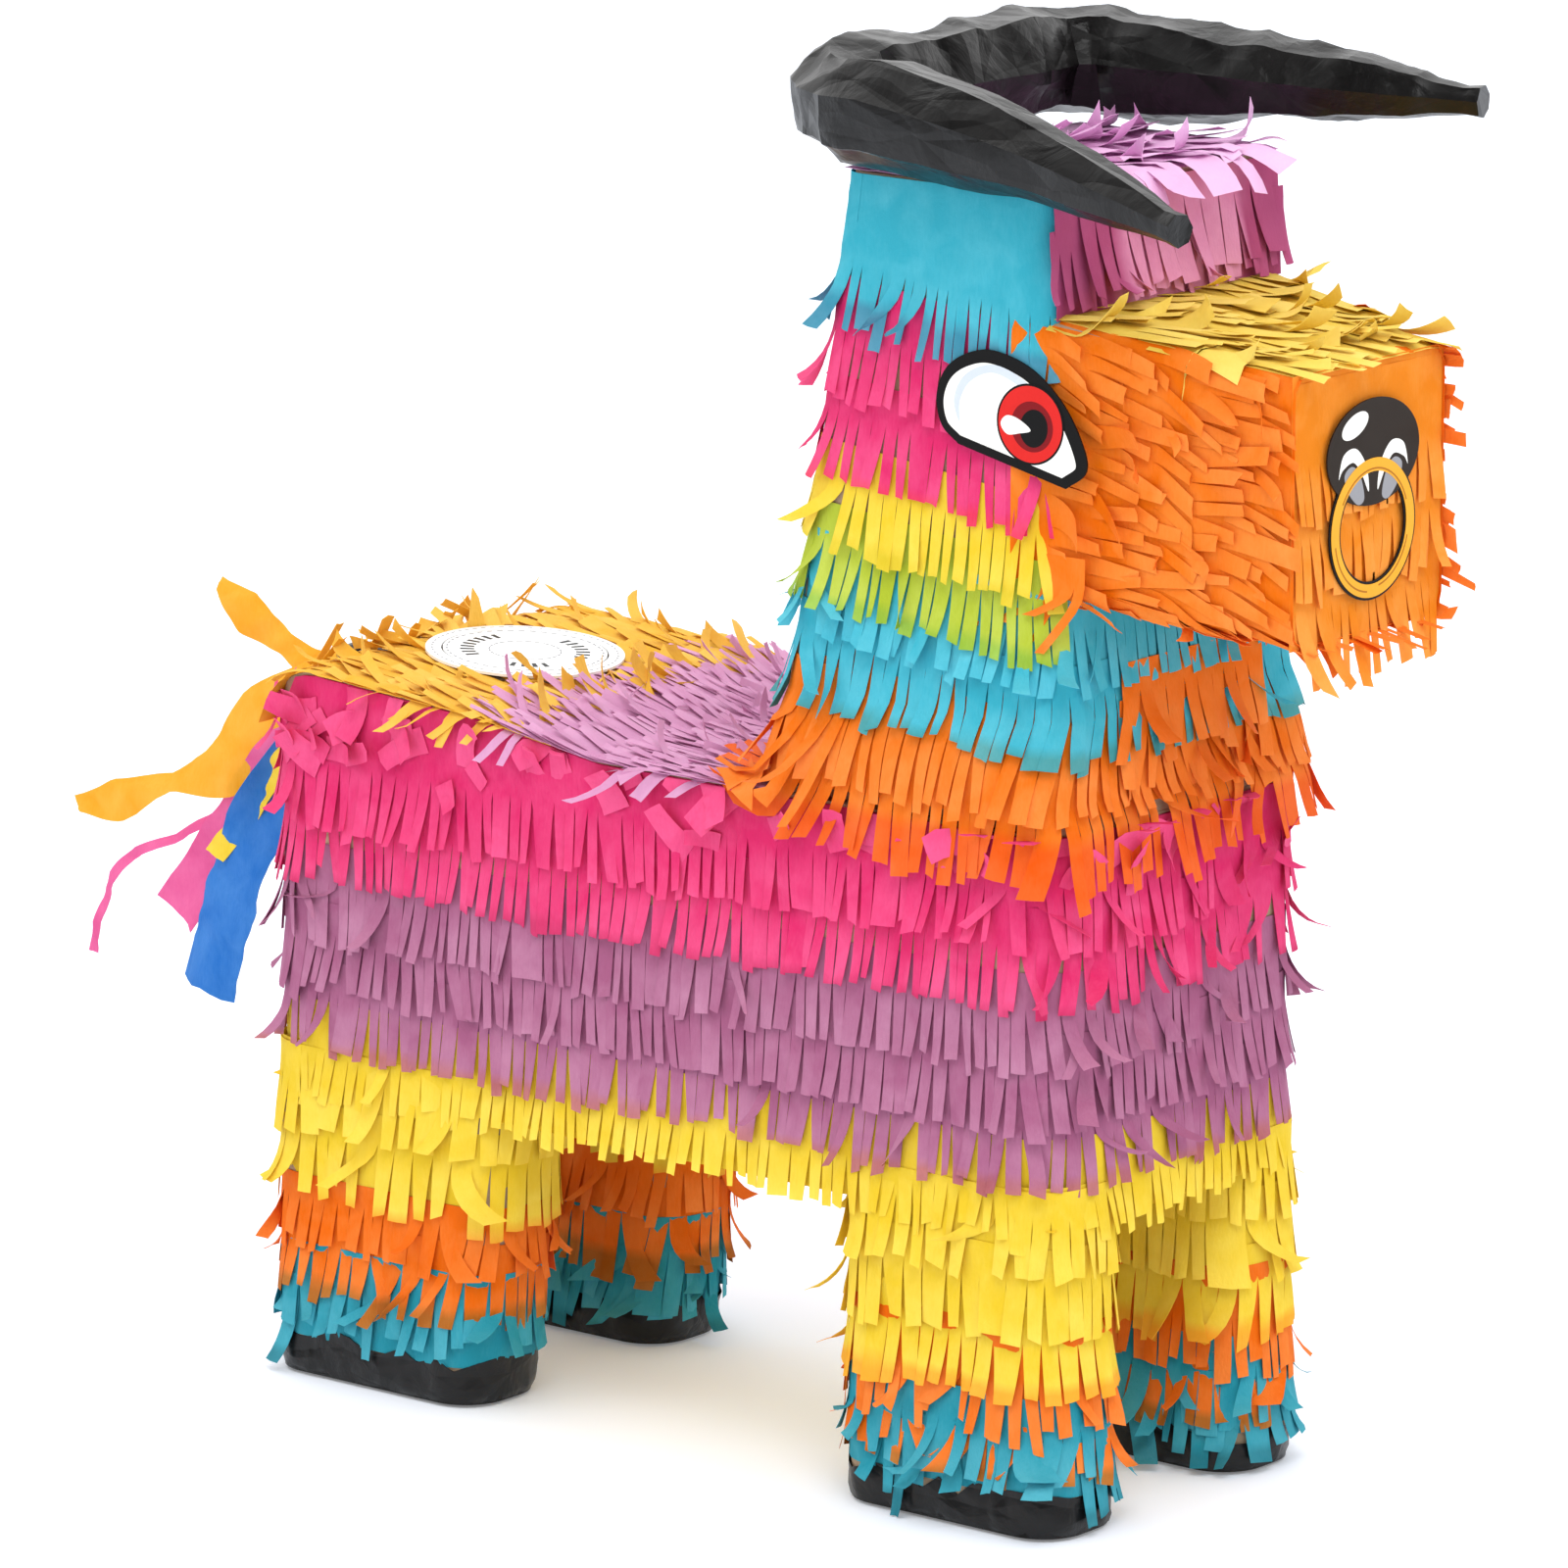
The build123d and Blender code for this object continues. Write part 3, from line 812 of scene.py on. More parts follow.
def neck_corner(s):
    """1 at the rear corners of the neck, falling to 0 away from them."""
    return np.clip(-NECK.at(s)[2], 0, 1)


SNOUT = Ring(
    -sum(SNOUT_HALF) / 2, sum(SNOUT_HALF) / 2, sum(SNOUT_LOW) / 2, sum(SNOUT_HIGH) / 2, SNOUT_CORNER
)


def snout_wall(s, x, out):
    a, b, na, nb = SNOUT.at(s)
    a, b, na, nb, x, out = np.broadcast_arrays(a, b, na, nb, x, out)
    share = (x - SNOUT_X[0]) / (SNOUT_X[1] - SNOUT_X[0])
    half, low, high = (p + share * (q - p) for p, q in (SNOUT_HALF, SNOUT_LOW, SNOUT_HIGH))
    middle_low, middle_high = sum(SNOUT_LOW) / 2, sum(SNOUT_HIGH) / 2
    z = low + (b - middle_low) / (middle_high - middle_low) * (high - low)
    y = -a / (sum(SNOUT_HALF) / 2) * half
    return np.stack([x, y - out * na, z + out * nb], -1)


def snout_top(s):
    """True on the golden top of the snout."""
    a, _, _, nb = SNOUT.at(s)
    return (nb > 0.75) & (np.abs(a) < 40)


def muzzle_wall(y, z, out):
    y, z, out = np.broadcast_arrays(y, z, out)
    return np.stack([MUZZLE_X + out, y, z], -1)


def back_wall(s, x, out):
    """The back, its strips pointing to the rump."""
    s, x, out = np.broadcast_arrays(s, x, out)
    return np.stack([x, -s, back_height(np.maximum(x, REAR_X)) + out], -1)


def edge_wall(side):
    """The edge between back and flank, its strips hanging outwards over it."""

    def wall(s, v, out):
        s, v, out = np.broadcast_arrays(s, v, out)
        turn, bend = HALF_WIDTH - 3.0, 5.0
        angle = np.clip((v - turn) / bend, 0, math.pi / 2)
        past = np.maximum(v - turn - bend * math.pi / 2, 0)
        y = np.minimum(v, turn) + (bend + out) * np.sin(angle)
        z = back_height(s) - bend * 0.4 + (bend + out) * np.cos(angle) - bend * 0.6 - past
        return np.stack([s, side * y, z], -1)

    return wall


def head_top_wall(s, x, out):
    """The top of the head, its strips pointing to the face and falling over its edge."""
    s, x, out = np.broadcast_arrays(s, x, out)
    bend, turn = 9.0, 133.0
    angle = np.clip((x - turn) / bend, 0, 1.35)
    past = np.maximum(x - turn - bend * 1.35, 0)
    px = np.minimum(x, turn) + (bend + out) * np.sin(angle) + past * 0.2
    pz = HEAD_TOP_Z - bend + (bend + out) * np.cos(angle) - past
    return np.stack([px, s, pz], -1)


def face_wall(y, z, out):
    y, z, out = np.broadcast_arrays(y, z, out)
    share = (z - NECK_Z[0]) / (NECK_Z[1] - NECK_Z[0])
    return np.stack([NECK_FRONT_X[0] + share * (NECK_FRONT_X[1] - NECK_FRONT_X[0]) + out, y, z], -1)


def settle(piece, body, slot, *nodes):
    """Fixes a finished piece to its body, in place of CAD nodes. Its slot is not used."""
    if not piece.data.polygons:
        raise RuntimeError(f"{piece.name} has no faces")
    if nodes:
        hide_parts(*nodes)
    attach(piece, body)
    return piece


def zone(name, finish, slot, fill, seed, thickness=0.12):
    """One colour zone: fill puts its rows on a sheet, which then stands for the CAD node of that name."""
    sheet = Sheet()
    fill(sheet, np.random.default_rng(seed))
    return settle(sheet.piece(f"{name}_paper", finish, thickness), "carton", slot, name)


# Operators, one for each group of like pieces


class PinataOperator:
    """What the operators share: they run once and can be undone"""

    bl_options = {"REGISTER", "UNDO"}

    def execute(self, context):
        self.build(context)
        return {"FINISHED"}


class PINATA_OT_card(PinataOperator, bpy.types.Operator):
    """Give the card walls of the carton their finish"""

    bl_idname = "pinata.card"
    bl_label = "Card carton"

    def build(self, context):
        walls = [n for n in frame["nodes"] if n.endswith(("_panel", "_sleeve"))]
        walls += [n for n in frame["nodes"] if n.startswith(("leg_tube", "hoof_pad"))] + ["fill_flap"]
        finish, black = material("carton_card", card_board), material("hoof_paper", black_paper)
        for name in walls:
            slots = frame["nodes"][name].data.materials
            slots.clear()
            slots.append(black if name.startswith("hoof_pad") else finish)


LEGS = [(front, side) for front in (True, False) for side in (-1, 1)]
YELLOW_LEG_ROWS = {  # top, cut, tip, share astray and settings of each row, front legs and rear
    True: [
        (66, 56, 38, 0.16, {"edge": 44, "base": 0.6}),
        (82, 73, 55, 0.1, {"base": 0.7}),
        (98, 90, 73, 0.1, {"base": 0.75}),
    ],
    False: [
        (82, 73, 53, 0.16, {"edge": 55, "base": 0.6, "ragged": 0.1}),
        (98, 90, 73, 0.1, {"base": 0.7}),
    ],
}


class PINATA_OT_torso(PinataOperator, bpy.types.Operator):
    """Cover the flanks, rump, chest and belly in magenta, mauve and yellow rows"""

    bl_idname = "pinata.torso"
    bl_label = "Trunk rows"

    def build(self, context):
        around = (0.0, TORSO.length)

        def rumple(base, extra):
            def share(s):
                x = TORSO.at(s)[0]
                rump = np.exp(-(((x - REAR_X) / 22.0) ** 2))
                chest = np.exp(-(((x - CHEST_X) / 14.0) ** 2))
                return base + extra * np.maximum(rump, chest * 0.9)

            return share

        def magenta(sheet, rng):
            plain(sheet, rng, below_back, around, 206.5, 176, 0.4, 0.35)
            comb(sheet, rng, torso_wall, around, 176, 165, 147, rumple(0.05, 0.25), edge=149)
            comb(
                sheet, rng, torso_wall, around, torso_top(207), 182, 164, rumple(0.07, 0.35),
                flare=0.2, crease=0.45, base=0.8, band_step=3.0,
            )
            tabs(sheet, rng, below_back, around, (178, 203), 250, near_rump)
            tabs(sheet, rng, below_back, around, (186, 199), 170, along_flank, base=0.8)

        def mauve(sheet, rng):
            plain(sheet, rng, torso_wall, around, 152, 101, 0.2, 0.1)
            comb(sheet, rng, torso_wall, around, 124, 115, 97, rumple(0.05, 0.25), edge=101)
            comb(sheet, rng, torso_wall, around, 141, 132, 114, rumple(0.05, 0.3))
            comb(sheet, rng, torso_wall, around, 158, 148, 130, rumple(0.07, 0.5), flare=0.2)

        def yellow(sheet, rng):
            plain(sheet, rng, torso_wall, around, 104, 87, 0.15, 0.1)
            comb(sheet, rng, torso_wall, around, 112, 98, 84, rumple(0.03, 0.1), ragged=0.1, flare=0.1)
            plain(sheet, rng, belly_wall, (-56.0, 56.0), -138.0, 143.0, 0.7, 0.35)
            for front, side in LEGS:
                wall, round_leg = leg_wall(front, side), (0.0, leg_ring(front, side).length)
                plain(sheet, rng, wall, round_leg, 99, 46 if front else 60, 0.3, 0.15)
                for top, cut, tip, wild, row in YELLOW_LEG_ROWS[front]:
                    comb(sheet, rng, wall, round_leg, top, cut, tip, wild, width=LEG_STRIP, **row)

        zone("torso_fringe_yellow", paper("yellow", "orange"), "tissue_yellow", yellow, 11)
        zone("torso_fringe_mauve", paper("mauve", "yellow"), "tissue_mauve", mauve, 12)
        zone("torso_fringe_magenta", paper("magenta", "mauve"), "tissue_magenta", magenta, 13)


def scattered(rng, share):
    """Keeps runs of strips here and there along a row."""

    def keep(s):
        return drift(rng, len(s), 3) > 1.2 - 2.4 * share

    return keep


def belly_wall(s, x, out):
    s, x, out = np.broadcast_arrays(s, x, out)
    return np.stack([x, s, BELLY_Z - out], -1)


class PINATA_OT_legs(PinataOperator, bpy.types.Operator):
    """Wrap the feet in black paper and the legs in turquoise and orange rows"""

    bl_idname = "pinata.legs"
    bl_label = "Leg rows"

    def build(self, context):
        def orange(sheet, rng):
            for front, side in LEGS:
                wall, round_leg = leg_wall(front, side), (0.0, leg_ring(front, side).length)
                low = 0 if front else 11
                plain(sheet, rng, wall, round_leg, 48 + low, 22 + low, 0.25, 0.1)
                comb(
                    sheet, rng, wall, round_leg, 38 + low, 30 + low, 15 + low, 0.25, edge=19 + low,
                    base=0.55, ragged=0.16, flare=0.2,
                )
                comb(sheet, rng, wall, round_leg, 60, 45 + low * 0.8, 28 + low, 0.2, base=0.6, ragged=0.12)

        def turquoise(sheet, rng):
            for front, side in LEGS:
                wall, round_leg = leg_wall(front, side), (0.0, leg_ring(front, side).length)
                plain(sheet, rng, wall, round_leg, 30, 12, 0.6, 0.1)
                comb(
                    sheet, rng, wall, round_leg, 30, 21, 8.5, 0.3, edge=8, base=0.9, ragged=0.3,
                    flare=0.3, step=0.9, width=5.5, keep=scattered(rng, 0.75),
                )
                comb(
                    sheet, rng, wall, round_leg, 40, 31, 14.0, 0.3, base=0.75, ragged=0.15, flare=0.2,
                    width=5.5,
                )

        def black(sheet, rng):
            for front, side in LEGS:
                hoof(sheet, rng, front, side)

        zone("leg_fringe_orange", paper("orange", "turquoise"), "tissue_orange", orange, 21)
        over_black = paper("turquoise", "black", amount=0.35)
        zone("leg_fringe_turquoise", over_black, "tissue_turquoise", turquoise, 22)
        zone("hoof_wraps", material("hoof_paper", black_paper), "tissue_black", black, 23, 0.3)


def hoof(sheet, rng, front, side):
    """Black paper folded up round one foot and closed beneath it."""
    wall, ring = leg_wall(front, side), leg_ring(front, side)
    s = np.linspace(0, ring.length, 97)
    rim = 12.5 + 1.6 * np.interp(s, np.linspace(0, ring.length, 33), rng.normal(size=33))
    rim[-1] = rim[0]
    out = np.array([-30.0, -7.0, -2.2, 0.1, 0.7, 0.9, 0.8, 0.8])
    height = np.array([0.35, 0.35, 0.3, 1.3, 3.5, 6.0, 9.0, 1.0])
    rows = len(out)
    z = np.tile(height[:, None], (1, len(s)))
    z[-1] = rim
    fold = Creases(rng, 0.45, (4.0, 14.0)).at(s[None, :], z)
    fold[:, -1] = fold[:, 0]
    strength = np.array([0, 0, 0.3, 0.8, 1, 1, 1, 1])[:, None]
    o = out[:, None] + np.maximum(fold, -0.5) * strength
    grid = np.zeros((1, rows, len(s), 3))
    for row in range(rows):
        grid[0, row] = wall(s, z[row], o[row])
    centre_y = side * sum(LEG_Y) / 2
    low_x, high_x = grid[0, 2, :, 0].min(), grid[0, 2, :, 0].max()
    spine = np.clip(grid[0, 2, :, 0], low_x + 16, high_x - 16)
    grid[0, 0, :, 0], grid[0, 0, :, 1] = spine, centre_y
    inner = 0.55
    grid[0, 1, :, 0] = spine + (grid[0, 2, :, 0] - spine) * inner
    grid[0, 1, :, 1] = centre_y + (grid[0, 2, :, 1] - centre_y) * inner
    grid[..., 2] = np.maximum(grid[..., 2], 0.3)
    sheet.add(grid[:, ::-1], np.full((*grid.shape[:3], 3), 0.5))


class PINATA_OT_back(PinataOperator, bpy.types.Operator):
    """Cover the back in loose golden and lilac rows"""

    bl_idname = "pinata.back"
    bl_label = "Back rows"

    def build(self, context):
        across = (-60.5, 60.5)

        def golden(sheet, rng):
            plain(sheet, rng, back_wall, (-59.0, 59.0), -42.0, -139.5, 0.25, 0.15)
            for x in (-132.0, -121.0, -110.0, -99.0, -88.0, -77.0, -66.0, -55.0):
                comb(
                    sheet, rng, back_wall, across, x + 26, x + 17, max(x, -134.0), 0.3, flare=0.22,
                    loose=0.2, ragged=0.15, width=4.6, base=0.3, step=0.9,
                )
            tabs(
                sheet, rng, back_wall, (-46.0, 46.0), (-138.0, -118.0), 34, lambda s: 0.8 + 0 * s,
                size=(14.0, 24.0), wide=(3.5, 5.5), base=0.9,
            )
            for side in (-1, 1):
                comb(
                    sheet, rng, edge_wall(side), (-136.0, -34.0), 49, 53, 71, 0.4, flare=0.3, lean=-1.0,
                    loose=0.3, ragged=0.25, width=4.6, base=0.5, keep=scattered(rng, 0.85),
                )
            sheet.cut_out(in_fill_hole)

        def lilac(sheet, rng):
            plain(sheet, rng, back_wall, (-59.0, 59.0), 46.0, -42.0, 0.25, 0.15)
            for x in np.arange(-62.0, 34.0, 8.5):
                comb(
                    sheet, rng, back_wall, across, min(x + 30, 44.0), x + 19, x, 0.16, flare=0.2,
                    loose=0.16, ragged=0.12, width=3.4, base=0.35, step=1.1,
                )
            for side in (-1, 1):
                comb(
                    sheet, rng, edge_wall(side), (-46.0, 40.0), 50, 54, 68, 0.4, flare=0.2, lean=-1.0,
                    loose=0.3, ragged=0.2, width=3.6, base=0.5, keep=scattered(rng, 0.8),
                )
            sheet.cut_out(in_fill_hole)

        zone("back_fringe_golden", paper("back_golden"), "tissue_golden", golden, 31)
        zone("back_fringe_lilac", paper("lilac"), "tissue_lilac", lilac, 32)


class PINATA_OT_neck(PinataOperator, bpy.types.Operator):
    """Ring the neck and head in rows, from orange at the shoulders to turquoise under the horns"""

    bl_idname = "pinata.neck"
    bl_label = "Neck rows"

    def build(self, context):
        around = (0.0, NECK.length)

        def loose_nape(base, extra):
            return lambda s: base + extra * neck_corner(s)

        def not_front(s):
            return ~front_face(s)

        def at_rear(s):
            x, _, _, ny = NECK.at(s)
            return (x < NECK_MIDDLE[0] + 24) & (np.abs(ny) > 0.1)

        def rearwards(s):
            x, _, _, ny = NECK.at(s)
            return 0.7 * np.exp(-(((x - NECK_MIDDLE[0]) / 22.0) ** 2)) * ny

        def row(cut, tip, top=None, share=0.08, nape=0.35, front=True, keep_rear=False, **settings):
            keep = at_rear if keep_rear else None if front else not_front

            def fill(sheet, rng):
                comb(
                    sheet, rng, neck_wall, around, top or cut + 10, cut, tip,
                    loose_nape(share, nape), keep=keep, **settings,
                )

            return fill

        def throat(sheet, rng):
            def keep(s):
                _, y, nx, _ = NECK.at(s)
                return (nx > 0.6) & (y > -28) & (y < 32)

            for top, cut, tip, base in ((244, 236, 219, 2.0), (234, 222, 203, 1.6)):
                comb(
                    sheet, rng, neck_wall, around, top, cut, tip, 0.2, base=base, keep=keep, width=6.0,
                    ragged=0.2, loose=0.15, flare=0.2,
                )

        def skin(low, high):
            def fill(sheet, rng):
                plain(sheet, rng, neck_wall, around, high, low, 0.3, 0.1)

            return fill

        def both(*fills):
            def fill(sheet, rng):
                for one in fills:
                    one(sheet, rng)

            return fill

        zones = [
            (
                "neck_fringe_orange", ("neck_orange", "magenta"), "tissue_orange",
                both(
                    skin(200, 236),
                    row(205, 182, share=0.12, flare=0.2, edge=196, base=0.5, ragged=0.09, lean=rearwards),
                    row(222, 200, 230, share=0.1, flare=0.2, base=0.5, nape=0.7),
                    row(
                        222, 190, 230, share=0.4, flare=0.8, base=1.0, nape=0.6, width=3.6,
                        keep_rear=True, lean=rearwards,
                    ),
                    throat,
                ),
            ),
            (
                # The neck and head use the lighter turquoise, which paints the light on them
                "neck_fringe_turquoise", ("head_turquoise", "orange"), "tissue_turquoise",
                both(
                    skin(232, 262),
                    row(238, 217, 246, edge=222, share=0.1, flare=0.22, base=0.6, step=1.5, nape=0.6),
                    row(256, 238, share=0.1, flare=0.22, base=0.5, nape=0.6),
                ),
            ),
            (
                "neck_fringe_lime", ("lime", "head_turquoise"), "tissue_lime",
                row(264, 246, edge=250, front=False, base=0.6, step=1.5),
            ),
            (
                "neck_fringe_yellow", ("yellow", "lime"), "tissue_yellow",
                row(281, 263, edge=266, front=False, base=0.6, step=1.5),
            ),
            (
                "neck_fringe_magenta", ("magenta", "yellow"), "tissue_magenta",
                both(
                    row(299, 280, edge=284, front=False, share=0.06),
                    row(322, 303, 336, front=False, share=0.12, flare=0.3, base=0.7),
                ),
            ),
            (
                "head_fringe_turquoise", ("head_turquoise", "magenta"), "tissue_turquoise",
                row(
                    340, 321, 367.6, edge=331, front=False, share=0.14, nape=0.6, flare=0.32, crease=0.4,
                    base=0.8, ragged=0.1, band_step=3.5,
                ),
            ),
        ]
        for seed, (name, (colour, beneath), slot, fill) in enumerate(zones, 41):
            zone(name, paper(colour, beneath, amount=0.42), slot, fill, seed)


class PINATA_OT_face(PinataOperator, bpy.types.Operator):
    """Put the pink and mauve forelock on the face and the lilac tuft on top of the head"""

    bl_idname = "pinata.face"
    bl_label = "Face and forelock"

    def build(self, context):
        def pink(sheet, rng):
            plain(sheet, rng, face_wall, (-50.0, 50.0), 366.0, 334.0, 0.4, 0.3)
            comb(sheet, rng, face_wall, (-52.0, 52.0), 358, 352, 336, 0.1, flare=0.25, base=0.6)
            comb(sheet, rng, face_wall, (-40.0, 46.0), 367, 361, 340, 0.12, flare=0.3, base=1.2, width=7.0)
            sheet.marks = [
                np.stack([m[:, 0], np.clip((np.abs(p[:, 1] - 4) - 26) / 3, 0, 1), m[:, 2]], -1)
                for p, m in zip(sheet.points, sheet.marks)
            ]

        def lilac(sheet, rng):
            plain(sheet, rng, head_top_wall, (-51.0, 51.0), 68.0, 136.0, 0.5, 0.5)
            for x in (96.0, 106.0, 116.0, 126.0, 136.0, 145.0):
                comb(
                    sheet, rng, head_top_wall, (-52.0, 52.0), x - 28, x - 18, x, 0.3, flare=0.4,
                    loose=0.25, ragged=0.2, width=8.5, base=0.8, step=1.6,
                )

        zone("face_fringe_pink", paper("pink", "mauve", amount=0.9), "tissue_pink", pink, 51)
        zone("head_top_fringe_lilac", paper("pale_lilac"), "tissue_lilac", lilac, 52)


class PINATA_OT_snout(PinataOperator, bpy.types.Operator):
    """Cover the snout in orange rows that point forward, its top in a paler golden that also paints light
    from above, and its muzzle in orange
    """

    bl_idname = "pinata.snout"
    bl_label = "Snout rows"

    def build(self, context):
        around = (0.0, SNOUT.length)
        places = (152.0, 162.0, 171.0, 180.0, 189.0, 198.0, 206.0)

        def droop(s):
            return -0.17 * SNOUT.at(s)[2]

        def not_top(s):
            return ~snout_top(s)

        def orange(sheet, rng):
            plain(sheet, rng, snout_wall, around, 138.0, 204.3, 0.6, 0.1)
            for x in reversed(places):
                comb(
                    sheet, rng, snout_wall, around, x - 25, x - 15, x, 0.12, flare=0.2, lean=droop,
                    keep=not_top, width=4.6, loose=0.16, ragged=0.26,
                )
            for side in (-1, 1):
                comb(
                    sheet, rng, cheek_wall(side), (126.0, 150.0), 272, 264, 240, 0.4, flare=0.45,
                    lean=-0.35 * side * -1, width=5.0, base=2.2, ragged=0.2, loose=0.25,
                )

        def golden(sheet, rng):
            top = np.linspace(0, SNOUT.length, 400)
            top = top[snout_top(top)]
            plain(sheet, rng, snout_wall, (top.min(), top.max()), 138.0, 204.3, 0.75, 0.1)
            for x in reversed(places):
                comb(
                    sheet, rng, snout_wall, around, x - 26, x - 18, x + 1, 0.28, flare=0.2,
                    keep=snout_top, width=6.0, loose=0.2, ragged=0.2, base=0.8,
                )

        def muzzle(sheet, rng):
            plain(sheet, rng, muzzle_wall, (-34.2, 34.2), 324.3, 250.8, 0.55, 0.08)
            comb(
                sheet, rng, muzzle_wall, (-32.0, 32.0), 270, 262, 240, 0.12, flare=0.12, base=0.5,
                ragged=0.1,
            )
            comb(sheet, rng, muzzle_wall, (-33.0, 33.0), 289, 281, 263, 0.06, flare=0.1, base=0.6)
            comb(
                sheet, rng, muzzle_wall, (-33.0, 33.0), 322, 300, 282, 0.05, flare=0.1, base=0.7,
                crease=0.25, band_step=3.0,
            )

        zone("snout_fringe_orange", paper("snout_orange"), "tissue_orange", orange, 61)
        # The top's paler golden paints the light falling on it from above
        zone("snout_fringe_golden", paper("snout_golden"), "tissue_golden", golden, 62)
        zone("muzzle_fringe_orange", paper("muzzle_orange", "golden"), "tissue_orange", muzzle, 63)


def cheek_wall(side):
    def wall(s, z, out):
        s, z, out = np.broadcast_arrays(s, z, out)
        return np.stack([s, side * (50.5 + out), z], -1)

    return wall


class PINATA_OT_horns(PinataOperator, bpy.types.Operator):
    """Roll the horns from black paper"""

    bl_idname = "pinata.horns"
    bl_label = "Horns"

    def build(self, context):
        bridge_z, radius = 385.5, 15.0
        arm = [  # X, Y, share of the way to the tip's height, radius, turn in degrees
            (69.0, 52.0, 0.0, 14.5, 45), (88.0, 57.0, 0.0, 14.0, 4), (113.0, 58.5, 0.16, 12.2, 2),
            (140.0, 60.0, 0.4, 10.0, 6), (168.0, 64.0, 0.72, 6.4, 9), (187.0, 67.0, 0.96, 3.7, 11),
            (191.5, 67.9, 1.0, 4.3, 11),
        ]
        rings = []
        for side, tip_z in ((-1, 366.0), (1, 384.0)):
            rows = [(x, side * y, bridge_z + share * (tip_z - bridge_z), r, side * turn)
                    for x, y, share, r, turn in arm]
            rings.append(rows if side > 0 else rows[::-1])
        middle = [(62.0, y, bridge_z, radius, 90.0) for y in (-36.0, -12.0, 12.0, 36.0)]
        right = [(x, y, z, r, 180 + turn) for x, y, z, r, turn in rings[0]]
        all_rings = right + middle + rings[1]
        choose()
        bpy.ops.object.add(type="MESH")
        horns = context.object
        horns.name = horns.data.name = "horns_paper"
        bpy.ops.object.mode_set(mode="EDIT")
        rng = np.random.default_rng(91)
        for x, y, z, r, turn in all_rings:
            place = (np.array([x, y, z]) + SHIFT) * MM
            face = Euler((0, 0, math.radians(turn))).to_matrix() @ Euler((0, math.pi / 2, 0)).to_matrix()
            face = face @ Euler((0, 0, math.radians(20.0))).to_matrix()
            bpy.ops.mesh.primitive_circle_add(
                vertices=7, radius=r * MM * rng.uniform(1.0, 1.1), fill_type="NOTHING", location=place,
                rotation=face.to_euler(),
            )
        bpy.ops.mesh.select_all(action="SELECT")
        bpy.ops.mesh.bridge_edge_loops(number_cuts=1)
        bpy.ops.mesh.select_all(action="DESELECT")
        bpy.ops.mesh.select_non_manifold()
        bpy.ops.mesh.edge_face_add()
        bpy.ops.mesh.select_all(action="SELECT")
        bpy.ops.mesh.subdivide(number_cuts=4, smoothness=0.0)
        bpy.ops.mesh.normals_make_consistent(inside=False)
        bpy.ops.object.mode_set(mode="OBJECT")
        crumpled = horns.vertex_groups.new(name="crumpled")
        for corner in horns.data.vertices:
            x, y = corner.co.x / MM - SHIFT[0], corner.co.y / MM - SHIFT[1]
            smooth = min(max((x - 72.0) / 14.0, 0.0), 1.0) * min(max((-y - 20.0) / 20.0, 0.0), 1.0)
            end = min(max((x - 170.0) / 14.0, 0.0), 1.0)
            crumpled.add([corner.index], (1.0 - 0.7 * smooth) * (1.0 - 0.6 * end), "REPLACE")
        for name, kind, scale, depth, strength in (
            ("long_folds", "SOFT_NOISE", 0.045, 1, 0.006),
            ("creases", "HARD_NOISE", 0.030, 1, -0.0042),
            ("small_creases", "HARD_NOISE", 0.011, 2, -0.0009),
        ):
            texture = bpy.data.textures.new(name, "CLOUDS")
            texture.noise_type, texture.noise_scale, texture.noise_depth = kind, scale, depth
            move = horns.modifiers.new(name, "DISPLACE")
            move.texture, move.strength, move.mid_level = texture, strength, 0.5
            move.texture_coords = "LOCAL"
            move.vertex_group = "crumpled"
            bpy.ops.object.modifier_apply(modifier=name)
        bpy.ops.object.shade_smooth_by_angle(angle=math.radians(20))
        horns.data.materials.append(material("horn_paper", black_paper))
        settle(horns, "carton", "tissue_black", "horn_bridge", "horn_left", "horn_right")


# Labels


def spline(a, b, c, d, t):
    """A place between b and c on a smooth line through four points."""
    return 0.5 * (2 * b + (c - a) * t + (2 * a - 5 * b + 4 * c - d) * t**2 + (3 * b - a - 3 * c + d) * t**3)


def smooth_outline(points, steps=8):
    """A closed smooth line through points, straight where two of them repeat."""
    points = np.array(points, float)
    count = len(points)
    made = []
    for i in range(count):
        around = [points[(i + k) % count] for k in (-1, 0, 1, 2)]
        made += [spline(*around, t) for t in np.linspace(0, 1, steps, endpoint=False)]
    return np.array(made)


def lid_outline(points, steps=8):
    """A line through points that is smooth above and closed by a straight lower edge."""
    return catmull(np.array(points, float), np.linspace(0, 1, steps * len(points)))


def shrunk(outline, amount):
    """An outline moved inwards, whichever way it runs."""
    before, after = np.roll(outline, 1, 0), np.roll(outline, -1, 0)
    first, second = outline - before, after - outline
    first /= np.linalg.norm(first, axis=1)[:, None]
    second /= np.linalg.norm(second, axis=1)[:, None]
    normal = np.stack([-(first + second)[:, 1], (first + second)[:, 0]], -1)
    normal /= np.linalg.norm(normal, axis=1)[:, None]
    miter = np.clip((normal * np.stack([-first[:, 1], first[:, 0]], -1)).sum(1), 0.45, 1)
    x, y = outline.T
    turn = np.sign((x * np.roll(y, -1) - np.roll(x, -1) * y).sum())
    return outline + normal * turn * (amount / miter)[:, None]


def oval(u, v, half_u, half_v, turn=0.0, steps=48):
    angle = np.linspace(0, 2 * math.pi, steps, endpoint=False)
    a, b = half_u * np.cos(angle), half_v * np.sin(angle)
    c, s = math.cos(math.radians(turn)), math.sin(math.radians(turn))
    return np.stack([u + a * c - b * s, v + a * s + b * c], -1)


